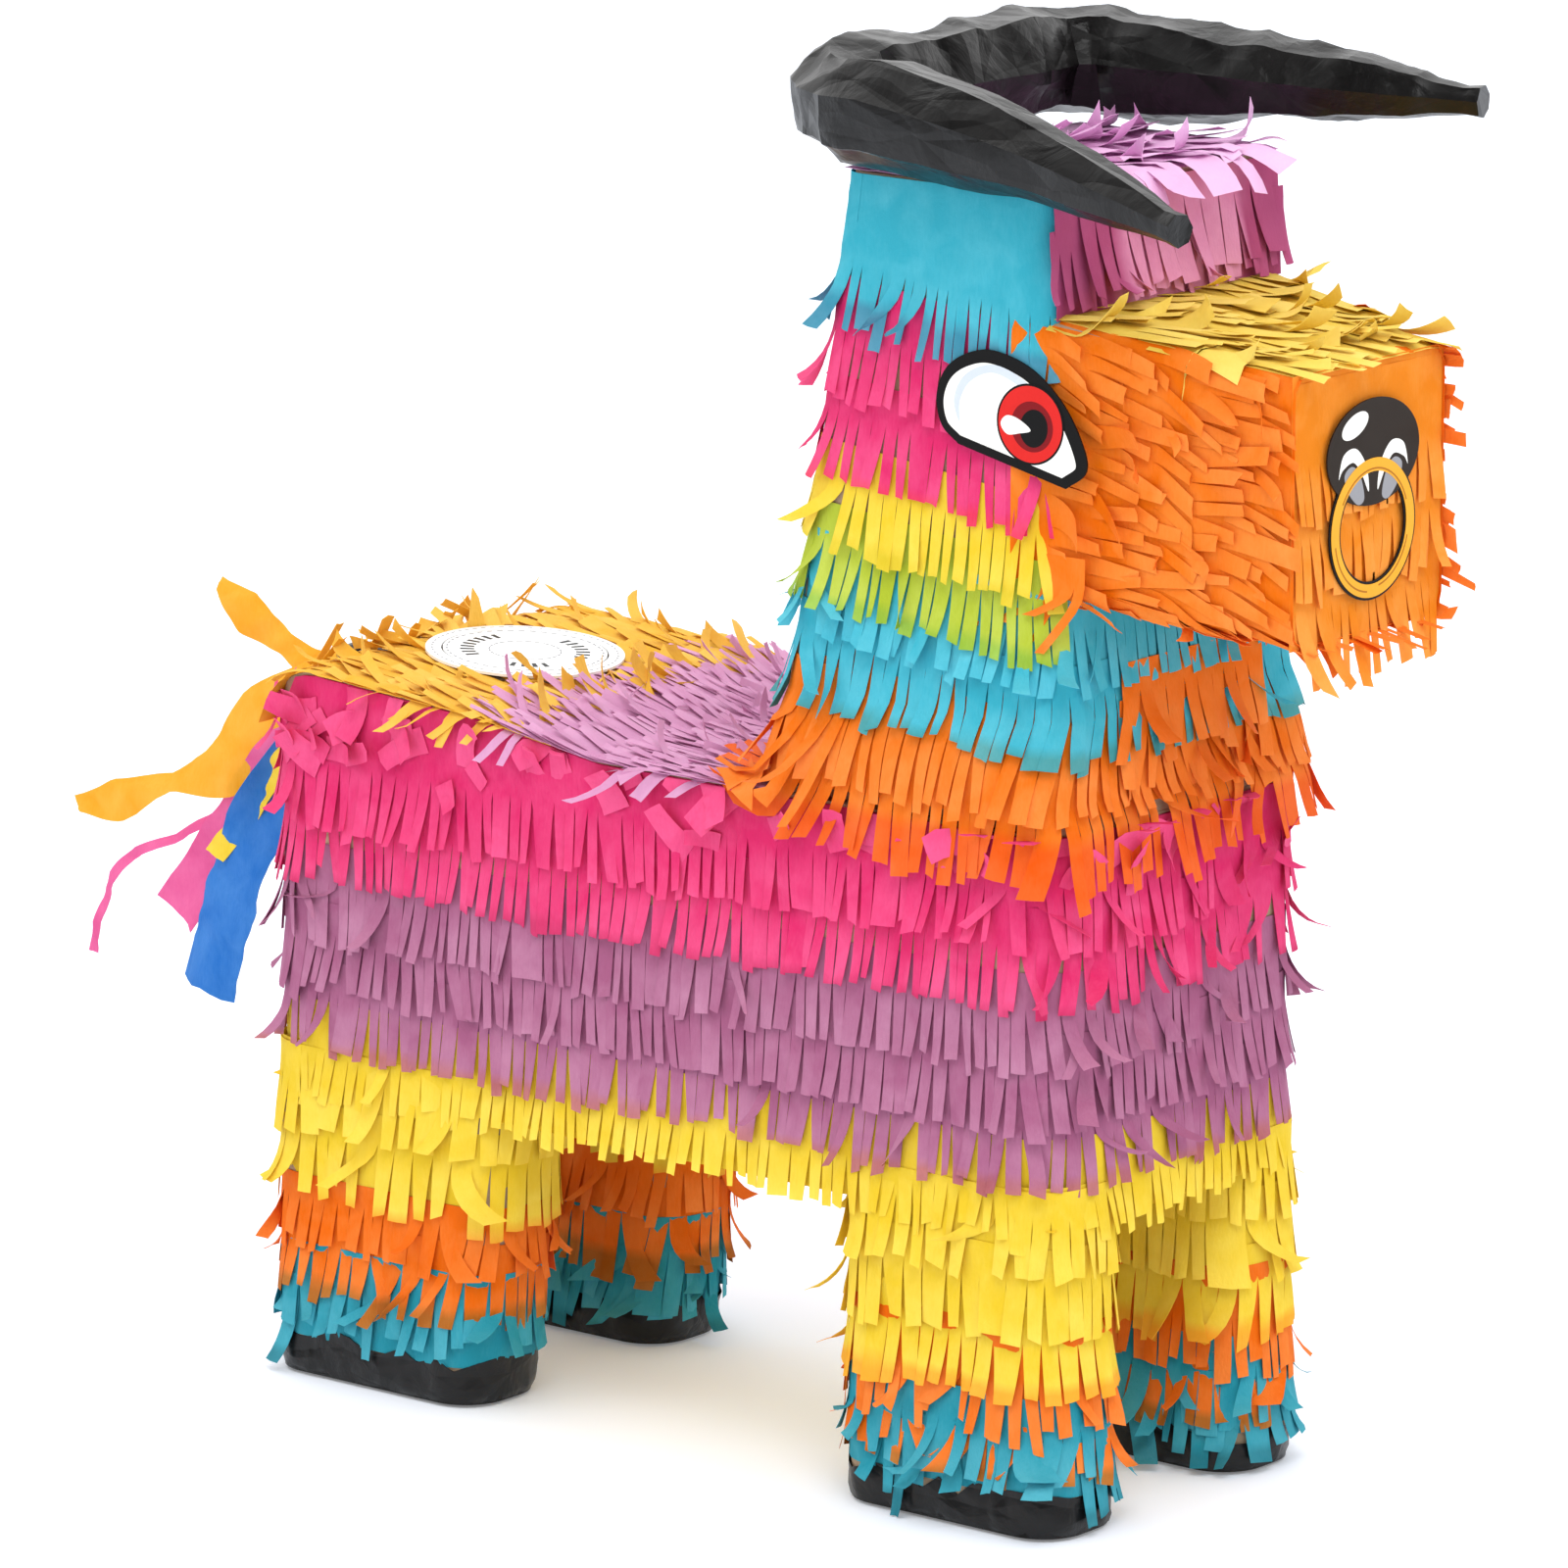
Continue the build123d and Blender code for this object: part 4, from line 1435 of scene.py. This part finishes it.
def print_shape(name, outlines, low, high, plane, finish):
    """A flat printed shape, with holes where outlines lie inside one another, between two heights."""
    curve = bpy.data.curves.new(name, "CURVE")
    curve.dimensions, curve.fill_mode = "2D", "BOTH"
    curve.extrude = (high - low) / 2 * MM
    for outline in outlines:
        line = curve.splines.new("POLY")
        line.points.add(len(outline) - 1)
        for point, (u, v) in zip(line.points, outline):
            point.co = (u * MM, v * MM, 0, 1)
        line.use_cyclic_u = True
    made = bpy.data.objects.new(name, curve)
    bpy.context.scene.collection.objects.link(made)
    made.data.materials.append(finish)
    choose(made)
    bpy.ops.object.convert(target="MESH")
    made = bpy.context.object
    made.data.transform(plane @ Matrix.Translation((0, 0, (low + high) / 2 * MM)))
    return made


def label_plane(origin, across, up):
    """A frame for printing on: across and up in the label, and out of it."""
    across, up = Vector(across), Vector(up)
    out = across.cross(up)
    place = (np.array(origin) + SHIFT) * MM
    turn = Matrix((across, up, out)).transposed().to_4x4()
    return Matrix.Translation(Vector(place)) @ turn


def join(name, parts):
    choose(*parts)
    bpy.ops.object.join()
    made = bpy.context.object
    made.name = made.data.name = name
    return made


INKS = {
    "ink_black": (16, 15, 15),
    "ink_white": (246, 244, 238),
    "ink_shade": (206, 214, 222),
    "ink_red": (214, 38, 34),
    "ink_dark_red": (128, 18, 24),
    "ink_brown": (40, 30, 22),
    "ink_grey": (150, 150, 154),
    "ink_gold": (238, 168, 44),
    "ink_dark_gold": (176, 112, 20),
}


def ink(name):
    return material(name, printed, linear(*INKS[name]))


class PINATA_OT_eyes(PinataOperator, bpy.types.Operator):
    """Print the two eye labels"""

    bl_idname = "pinata.eyes"
    bl_label = "Eye labels"

    def build(self, context):
        outline = [(110, 299), (104.4, 303.5), (102.6, 311), (105.4, 318.5), (112, 323.4), (121.5, 325.4),
                   (134.5, 321.8), (145, 313.5), (151.6, 303), (152.6, 296), (146, 291)]
        shade = [(110.5, 305.0), (108.6, 311.0), (112.4, 318.0), (121.6, 321.6), (132.0, 318.6),
                 (139.0, 312.5), (131.5, 316.4), (121.8, 319.4), (114.2, 316.4), (110.6, 310.8)]
        glint = [(124.4, 306.2), (126.4, 308.6), (130.4, 308.0), (134.4, 305.4), (130.6, 304.2),
                 (126.6, 303.6)]
        for name, side in (("left", 1), ("right", -1)):
            plane = label_plane((0, side * EYE_Y, 0), (-side, 0, 0), (0, 0, 1))

            def turned(points):
                return np.array([(-side * x, z) for x, z in points])[::-1]

            lid = lid_outline(outline)
            white = shrunk(lid, 3.1)
            white = np.stack([white[:, 0] - 0.6, white[:, 1] - 0.5], -1)
            layers = [
                ("ink_black", [turned(lid)], 0.0, 0.5),
                ("ink_white", [turned(white)], 0.5, 0.56),
                ("ink_shade", [smooth_outline(turned(shade))], 0.56, 0.59),
                ("ink_black", [turned(oval(134.2, 307.0, 11.2, 10.9))], 0.59, 0.61),
                ("ink_red", [turned(oval(134.2, 307.0, 10.6, 10.3))], 0.61, 0.64),
                ("ink_dark_red", [turned(oval(134.8, 306.4, 7.0, 6.8))], 0.64, 0.66),
                ("ink_black", [turned(oval(135.4, 306.0, 4.6, 5.2, -20))], 0.66, 0.69),
                ("ink_white", [smooth_outline(turned(glint))], 0.69, 0.72),
            ]
            parts = [
                print_shape(f"eye_{name}_{i}", lines, low, high, plane, ink(colour))
                for i, (colour, lines, low, high) in enumerate(layers)
            ]
            label = join(f"eye_print_{name}", parts)
            settle(label, "carton", "label_print", f"eye_label_{name}")


class PINATA_OT_nose(PinataOperator, bpy.types.Operator):
    """Print the nose label with its ring"""

    bl_idname = "pinata.nose"
    bl_label = "Nose label"

    def build(self, context):
        plane = label_plane((NOSE_X, 0, 0), (0, 1, 0), (0, 0, 1))
        ring_z, outer, inner, rim = 279.5, 19.5, 14.5, 0.7

        def circle(radius):
            return oval(0, ring_z, radius, radius, steps=72)

        def mirrored(points, side):
            return smooth_outline(np.array([(side * u, v) for u, v in points])[::side])

        layers = [
            ("ink_black", [circle(outer), circle(inner)], 0.0, 0.4),
            ("ink_brown", [oval(0, 300, 20.8, 14.4, steps=72)], 0.0, 0.46),
            ("ink_white", [oval(-8.5, 308.0, 6.2, 3.0, 20)], 0.46, 0.5),
        ]
        for side in (-1, 1):
            arch = [(2.0, 289.5), (3.2, 296.5), (8.0, 301.8), (13.6, 300.6), (15.6, 294.6), (13.8, 296.8),
                    (9.0, 298.2), (5.0, 294.2)]
            fill = [(4.0, 288.0), (6.0, 294.4), (9.6, 297.2), (13.0, 295.2), (11.4, 290.6), (7.0, 286.6)]
            layers += [
                ("ink_white", [mirrored(arch, side)], 0.46, 0.5),
                ("ink_grey", [mirrored(fill, side)], 0.46, 0.49),
            ]
        layers.append(("ink_gold", [circle(outer - rim), circle(inner + rim)], 0.5, 0.6))
        for start, end, radius in ((20, 150, 16.2), (190, 262, 17.4), (280, 345, 16.4)):
            angle = np.radians(np.linspace(start, end, 24))
            outside = np.stack([radius * np.cos(angle), ring_z + radius * np.sin(angle)], -1)
            inside = np.stack([(radius - 0.5) * np.cos(angle), ring_z + (radius - 0.5) * np.sin(angle)], -1)
            layers.append(("ink_dark_gold", [np.concatenate([outside, inside[::-1]])], 0.6, 0.64))
        parts = [
            print_shape(f"nose_{i}", lines, low, high, plane, ink(colour))
            for i, (colour, lines, low, high) in enumerate(layers)
        ]
        settle(join("nose_print", parts), "carton", "label_print", "nose_label")


class PINATA_OT_fill_opening(PinataOperator, bpy.types.Operator):
    """Finish the round fill label, its cut line marks and the flap's tissue"""

    bl_idname = "pinata.fill_opening"
    bl_label = "Fill opening"

    def build(self, context):
        stock = material(
            "label_stock", printed, linear(250, 250, 248), linear(232, 233, 236), coat=0.1, rough=0.5
        )
        for name in ("fill_label", "fill_label_rim"):
            slots = frame["nodes"][name].data.materials
            slots.clear()
            slots.append(stock)
        plane = label_plane((FILL_X, 0, FILL_Z), (FILL_ALONG, 0, FILL_RISE), (0, 1, 0))

        def dashes(radius, count, share, thick, arcs=((0, 360),)):
            shapes = []
            for i in range(count):
                if not any(start <= i * 360 / count <= end for start, end in arcs):
                    continue
                angle = np.linspace(i, i + share, 5) * 2 * math.pi / count
                outside = np.stack([np.cos(angle), np.sin(angle)], -1)
                shapes.append(np.concatenate([outside * radius, outside[::-1] * (radius - thick)]))
            return shapes

        marks = [
            print_shape("cut_marks", dashes(22.6, 44, 0.55, 0.45), 0.8, 0.85, plane, ink("ink_grey")),
            print_shape(
                "bars", dashes(18.6, 34, 0.42, 4.0, ((20, 95), (150, 245), (290, 330))), 0.8, 0.85, plane,
                ink("ink_black"),
            ),
            print_shape("inner_marks", dashes(10.5, 24, 0.7, 0.4), 0.8, 0.85, plane, ink("ink_grey")),
        ]
        settle(join("fill_label_marks", marks), "flap", "label_print")
        dashed = dashes(26.8, 60, 0.5, 0.4)
        rim_marks = print_shape("fill_rim_marks", dashed, 0.8, 0.84, plane, ink("ink_grey"))
        settle(rim_marks, "carton", "label_print")

        def flap_wall(s, r, out_by):
            s, r, out_by = np.broadcast_arrays(s, r, out_by)
            x, z = off_fill_plane(r * np.cos(s), out_by)
            return np.stack([x, r * np.sin(s), z], -1)

        sheet = Sheet()
        rng = np.random.default_rng(71)
        s = np.linspace(0, 2 * math.pi, 73)
        r = np.array([0.5, 8.0, 16.0, 21.0, 23.3])
        height = -0.9 + 0.35 * np.sin(3 * s[None, :]) * np.cos(r[:, None] / 5)
        height[:, -1] = height[:, 0]
        points = flap_wall(s[None, None, :], r[None, :, None], height[None])
        sheet.add(points, plain_marks(points))
        flap = sheet.piece("fill_flap_paper", paper("golden"), 0.3)
        settle(flap, "flap", "tissue_golden", "fill_flap_tissue")


# The tail

STREAMERS = {
    # paper, route in X, Y and Z, widths along it, turns along it in degrees
    "orange_high": (
        "golden", [(-157, 0, 196), (-170, 0, 193), (-182, 0, 198), (-197, 1, 205), (-208, 1, 212)],
        (8, 9, 7, 14, 4), (20, 60, 75, 85, 70),
    ),
    "orange_low": (
        "golden", [(-156, -4, 195), (-184, -7, 176), (-198, -8, 160), (-219, -9, 153), (-242, -8, 144),
                   (-257, -8, 141)],
        (14, 21, 18, 6, 13, 5), (60, 85, 85, 60, 85, 80),
    ),
    "pink_curl": (
        "tail_pink", [(-157, -4, 190), (-184, -7, 157), (-217, -8, 137), (-239, -7, 127), (-249, -6, 113),
                      (-256, -5, 96)],
        (4, 3.5, 3.2, 3.2, 3.4, 5), (70, 80, 60, 80, 85, 80),
    ),
    "pink_wide": (
        "tail_pink", [(-156, -6, 188), (-181, -10, 162), (-198, -10, 138), (-216, -10, 116)],
        (10, 15, 18, 18), (75, 85, 85, 80),
    ),
    "golden": (
        "yellow", [(-156, -10, 190), (-168, -18, 168), (-180, -20, 150), (-190, -22, 138)],
        (6, 8, 8, 7), (70, 80, 85, 80),
    ),
    "blue": (
        "blue", [(-155, -8, 187), (-173, -21, 152), (-184, -22, 126), (-193, -21, 101)],
        (12, 19, 24, 27), (80, 85, 82, 80),
    ),
}


class PINATA_OT_tail(PinataOperator, bpy.types.Operator):
    """Tie the tail's knot and hang its loose paper streamers"""

    bl_idname = "pinata.tail"
    bl_label = "Tail"

    def build(self, context):
        choose()
        place = (np.array([-146.5, -1.0, 197.5]) + SHIFT) * MM
        bpy.ops.mesh.primitive_ico_sphere_add(subdivisions=4, radius=6.2 * MM, location=place)
        knot = context.object
        knot.name = knot.data.name = "tail_knot_paper"
        bpy.ops.object.transform_apply(location=True)
        bpy.ops.object.mode_set(mode="EDIT")
        bpy.ops.mesh.select_all(action="SELECT")
        bpy.ops.transform.resize(value=(2.35, 1.15, 0.95), center_override=tuple(place))
        bpy.ops.object.mode_set(mode="OBJECT")
        texture = bpy.data.textures.new("knot_folds", "CLOUDS")
        texture.noise_type, texture.noise_scale, texture.noise_depth = "HARD_NOISE", 0.006, 2
        move = knot.modifiers.new("knot_folds", "DISPLACE")
        move.texture, move.strength, move.mid_level = texture, 0.0028, 0.6
        bpy.ops.object.modifier_apply(modifier=move.name)
        bpy.ops.object.shade_smooth_by_angle(angle=math.radians(25))
        knot.data.materials.append(material("horn_paper", black_paper))
        settle(knot, "carton", "tissue_black", "tail_knot")

        slots = {colour: f"tissue_{colour.removeprefix('tail_')}" for colour in PAPERS}
        for seed, (name, (colour, route, widths, turns)) in enumerate(STREAMERS.items(), 81):
            piece, width, length, area = streamer(f"streamer_{name}", colour, route, widths, turns, seed)
            settle(piece, "carton", slots[colour], f"tail_streamer_{name}")


def streamer(name, colour, route, widths, turns, seed):
    """A ribbon of paper along a route, with the given widths and turns about its own line, in degrees."""
    rng = np.random.default_rng(seed)
    points = np.array(route, float)
    knots = np.linspace(0, 1, len(points))
    rows, columns = 44, 7
    t = np.linspace(0, 1, rows)
    line = catmull(points, t)
    width = np.interp(t, knots, widths)
    turn = np.radians(np.interp(t, knots, turns))
    ahead = np.gradient(line, axis=0)
    ahead /= np.linalg.norm(ahead, axis=1)[:, None]
    level = np.cross(ahead, (0, 0, 1.0))
    level /= np.linalg.norm(level, axis=1)[:, None]
    upward = np.cross(level, ahead)
    across = level * np.cos(turn)[:, None] + upward * np.sin(turn)[:, None]
    out = np.cross(across, ahead)
    u = np.linspace(-0.5, 0.5, columns)
    folds = Creases(rng, 0.7, (10.0, 34.0))
    arc = np.concatenate([[0], np.cumsum(np.linalg.norm(np.diff(line, axis=0), axis=1))])
    ripple = folds.at(arc[:, None], u[None, :] * width[:, None] * 1.6)
    hollow = width[:, None] * 0.12 * (1 - 4 * u[None, :] ** 2) * np.sin(3.0 * t + seed)[:, None]
    grid = (
        line[:, None, :]
        + across[:, None, :] * (u[None, :] * width[:, None])[..., None]
        + out[:, None, :] * (ripple + hollow)[..., None]
    )
    slant = ((u + 0.5) * 0.35 + (u * rng.normal(0, 0.2) + rng.normal(0, 0.04, columns)) * 0.5) * width[-1]
    grid[-1] += ahead[-1] * slant[:, None]
    marks = np.zeros((1, rows, columns, 3))
    marks[..., 0], marks[..., 2] = 0.5, 0.6
    sheet = Sheet()
    sheet.add(grid[None], marks)
    steps = np.diff(arc)
    area = float(((width[1:] + width[:-1]) / 2 * steps).sum())
    made = sheet.piece(name, paper(colour), 0.15, merge=False)
    wide = max(float(width.max()), 10.0)
    return made, wide, float(arc[-1]), min(area, wide * arc[-1])


def catmull(points, t):
    """Places along a smooth line through points."""
    points = np.concatenate([[2 * points[0] - points[1]], points, [2 * points[-1] - points[-2]]])
    spans = len(points) - 3
    u = np.clip(np.asarray(t) * spans, 0, spans - 1e-9)
    i = u.astype(int)
    f = (u - i)[:, None]
    return spline(*(points[i + k] for k in range(4)), f)


class PINATA_OT_stage(PinataOperator, bpy.types.Operator):
    """Set the floor, the soft light and the camera"""

    bl_idname = "pinata.stage"
    bl_label = "Stage"

    def build(self, context):
        scene = context.scene
        settings = scene.pinata_stage
        scene.view_settings.view_transform = "Standard"
        choose()
        bpy.ops.mesh.primitive_plane_add(size=12.0, location=(0, 0, -0.0002))
        floor = context.object
        floor.name = floor.data.name = "floor"
        paint = Finish("floor_paper")
        cloud = paint.noise(paint.place(), 3.0, 3.0)
        base = paint.mix((cloud * 1.4 - 0.2).clamped(), (0.83, 0.87, 0.95), (0.85, 0.89, 0.96))
        body = paint.surface(
            Base_Color=base, Roughness=0.8, Specular_IOR_Level=0.2, Emission_Color=WHITE,
            Emission_Strength=0.16,
        )
        floor.data.materials.append(paint.finish(body))
        floor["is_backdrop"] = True

        sky = Finish("studio", "worlds")
        way = sky.node("ShaderNodeTexCoord", out="Generated")
        height = sky.node("ShaderNodeSeparateXYZ", {}, {0: way}, out="Z")

        def ramp(value, lowest, highest, low, high):
            ends = {"From Min": lowest, "From Max": highest, "To Min": low, "To Max": high}
            return sky.node("ShaderNodeMapRange", {}, {"Value": value, **ends})

        # Shiny things mirror a white backdrop behind the bull and a dark studio on the camera's side
        away = (-math.sin(settings.azimuth), math.cos(settings.azimuth), 0)
        dot = {"operation": "DOT_PRODUCT"}
        behind = sky.node("ShaderNodeVectorMath", dot, {0: way, 1: away}, out="Value")
        mirrored = ramp(behind, -0.1, 0.5, 0.04, 1.6) + ramp(height, 0.75, 0.95, 0.0, 0.5)
        glossy = sky.node("ShaderNodeLightPath", out="Is Glossy Ray")
        # A number Mix node takes its factor first, then its two values third and fourth
        share = sky.node("ShaderNodeMix", {}, {0: glossy, 2: ramp(height, 0.0, 1.0, 0.62, 1.65), 3: mirrored})
        light = sky.node("ShaderNodeBackground", {}, {"Color": WHITE, "Strength": share})
        backdrop = sky.node("ShaderNodeBackground", {}, {"Color": WHITE})
        seen = sky.node("ShaderNodeLightPath", out="Is Camera Ray")
        mixed = sky.node("ShaderNodeMixShader", {}, {0: seen, 1: light, 2: backdrop})
        scene.world = sky.finish(mixed, "ShaderNodeOutputWorld")

        target = Vector((0.03413, 0.00015, 0.182))  # the middle of the picture, on the bull

        def lamp(name, place, size, power, shine=1.0):
            light = bpy.data.lights.new(name, "AREA")
            light.energy, light.size, light.specular_factor = power, size, shine
            holder = bpy.data.objects.new(name, light)
            holder.location = place
            holder.rotation_euler = (Vector((0, 0, 0.2)) - Vector(place)).to_track_quat("-Z", "Y").to_euler()
            scene.collection.objects.link(holder)

        lamp("key_softbox", (1.3, -1.3, 2.4), 1.2, 22.0, 0.6)
        lamp("front_softbox", (2.2, 0.9, 1.0), 1.2, 3.0, 0.2)
        lamp("side_softbox", (-1.2, -2.2, 1.4), 1.2, 6.0, 0.2)

        camera = bpy.data.cameras.new("camera")
        camera.lens, camera.sensor_width = settings.lens, 36.0
        camera.clip_start, camera.clip_end = 0.05, 50.0
        holder = bpy.data.objects.new("camera", camera)
        back = Vector(
            (
                math.sin(settings.azimuth) * math.cos(settings.elevation),
                -math.cos(settings.azimuth) * math.cos(settings.elevation),
                math.sin(settings.elevation),
            )
        )
        holder.location = target + back * settings.distance
        holder.rotation_euler = (-back).to_track_quat("-Z", "Y").to_euler()
        scene.collection.objects.link(holder)
        scene.camera = holder


OPERATORS = (
    PINATA_OT_card,
    PINATA_OT_torso,
    PINATA_OT_legs,
    PINATA_OT_back,
    PINATA_OT_neck,
    PINATA_OT_face,
    PINATA_OT_snout,
    PINATA_OT_horns,
    PINATA_OT_eyes,
    PINATA_OT_nose,
    PINATA_OT_fill_opening,
    PINATA_OT_tail,
    PINATA_OT_stage,
)
SETTINGS = {"pinata_papers": PinataPapers, "pinata_fringe": PinataFringe, "pinata_stage": PinataStage}


class PINATA_PT_panel(bpy.types.Panel):
    """The pinata's steps and settings"""

    bl_idname = "PINATA_PT_panel"
    bl_label = "Pinata"
    bl_space_type = "VIEW_3D"
    bl_region_type = "UI"
    bl_category = "Pinata"

    def draw(self, context):
        for operator in OPERATORS:
            self.layout.operator(operator.bl_idname)
        for name, group in SETTINGS.items():
            box = self.layout.box()
            for setting in group.__annotations__:
                box.prop(getattr(context.scene, name), setting)


def register():
    for group in (*SETTINGS.values(), *OPERATORS, PINATA_PT_panel):
        bpy.utils.register_class(group)
    for name, group in SETTINGS.items():
        setattr(bpy.types.Scene, name, bpy.props.PointerProperty(type=group))


def unregister():
    for name in SETTINGS:
        delattr(bpy.types.Scene, name)
    for group in reversed((*SETTINGS.values(), *OPERATORS, PINATA_PT_panel)):
        bpy.utils.unregister_class(group)


def main():
    register()
    for operator in OPERATORS:
        group, name = operator.bl_idname.split(".")
        getattr(getattr(bpy.ops, group), name)()
    sizes = {"cad_box": CAD_BOX, "visual_box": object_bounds()}
    {name: [list(low), list(high)] for name, (low, high) in sizes.items()}


if __name__ == "__main__":
    main()
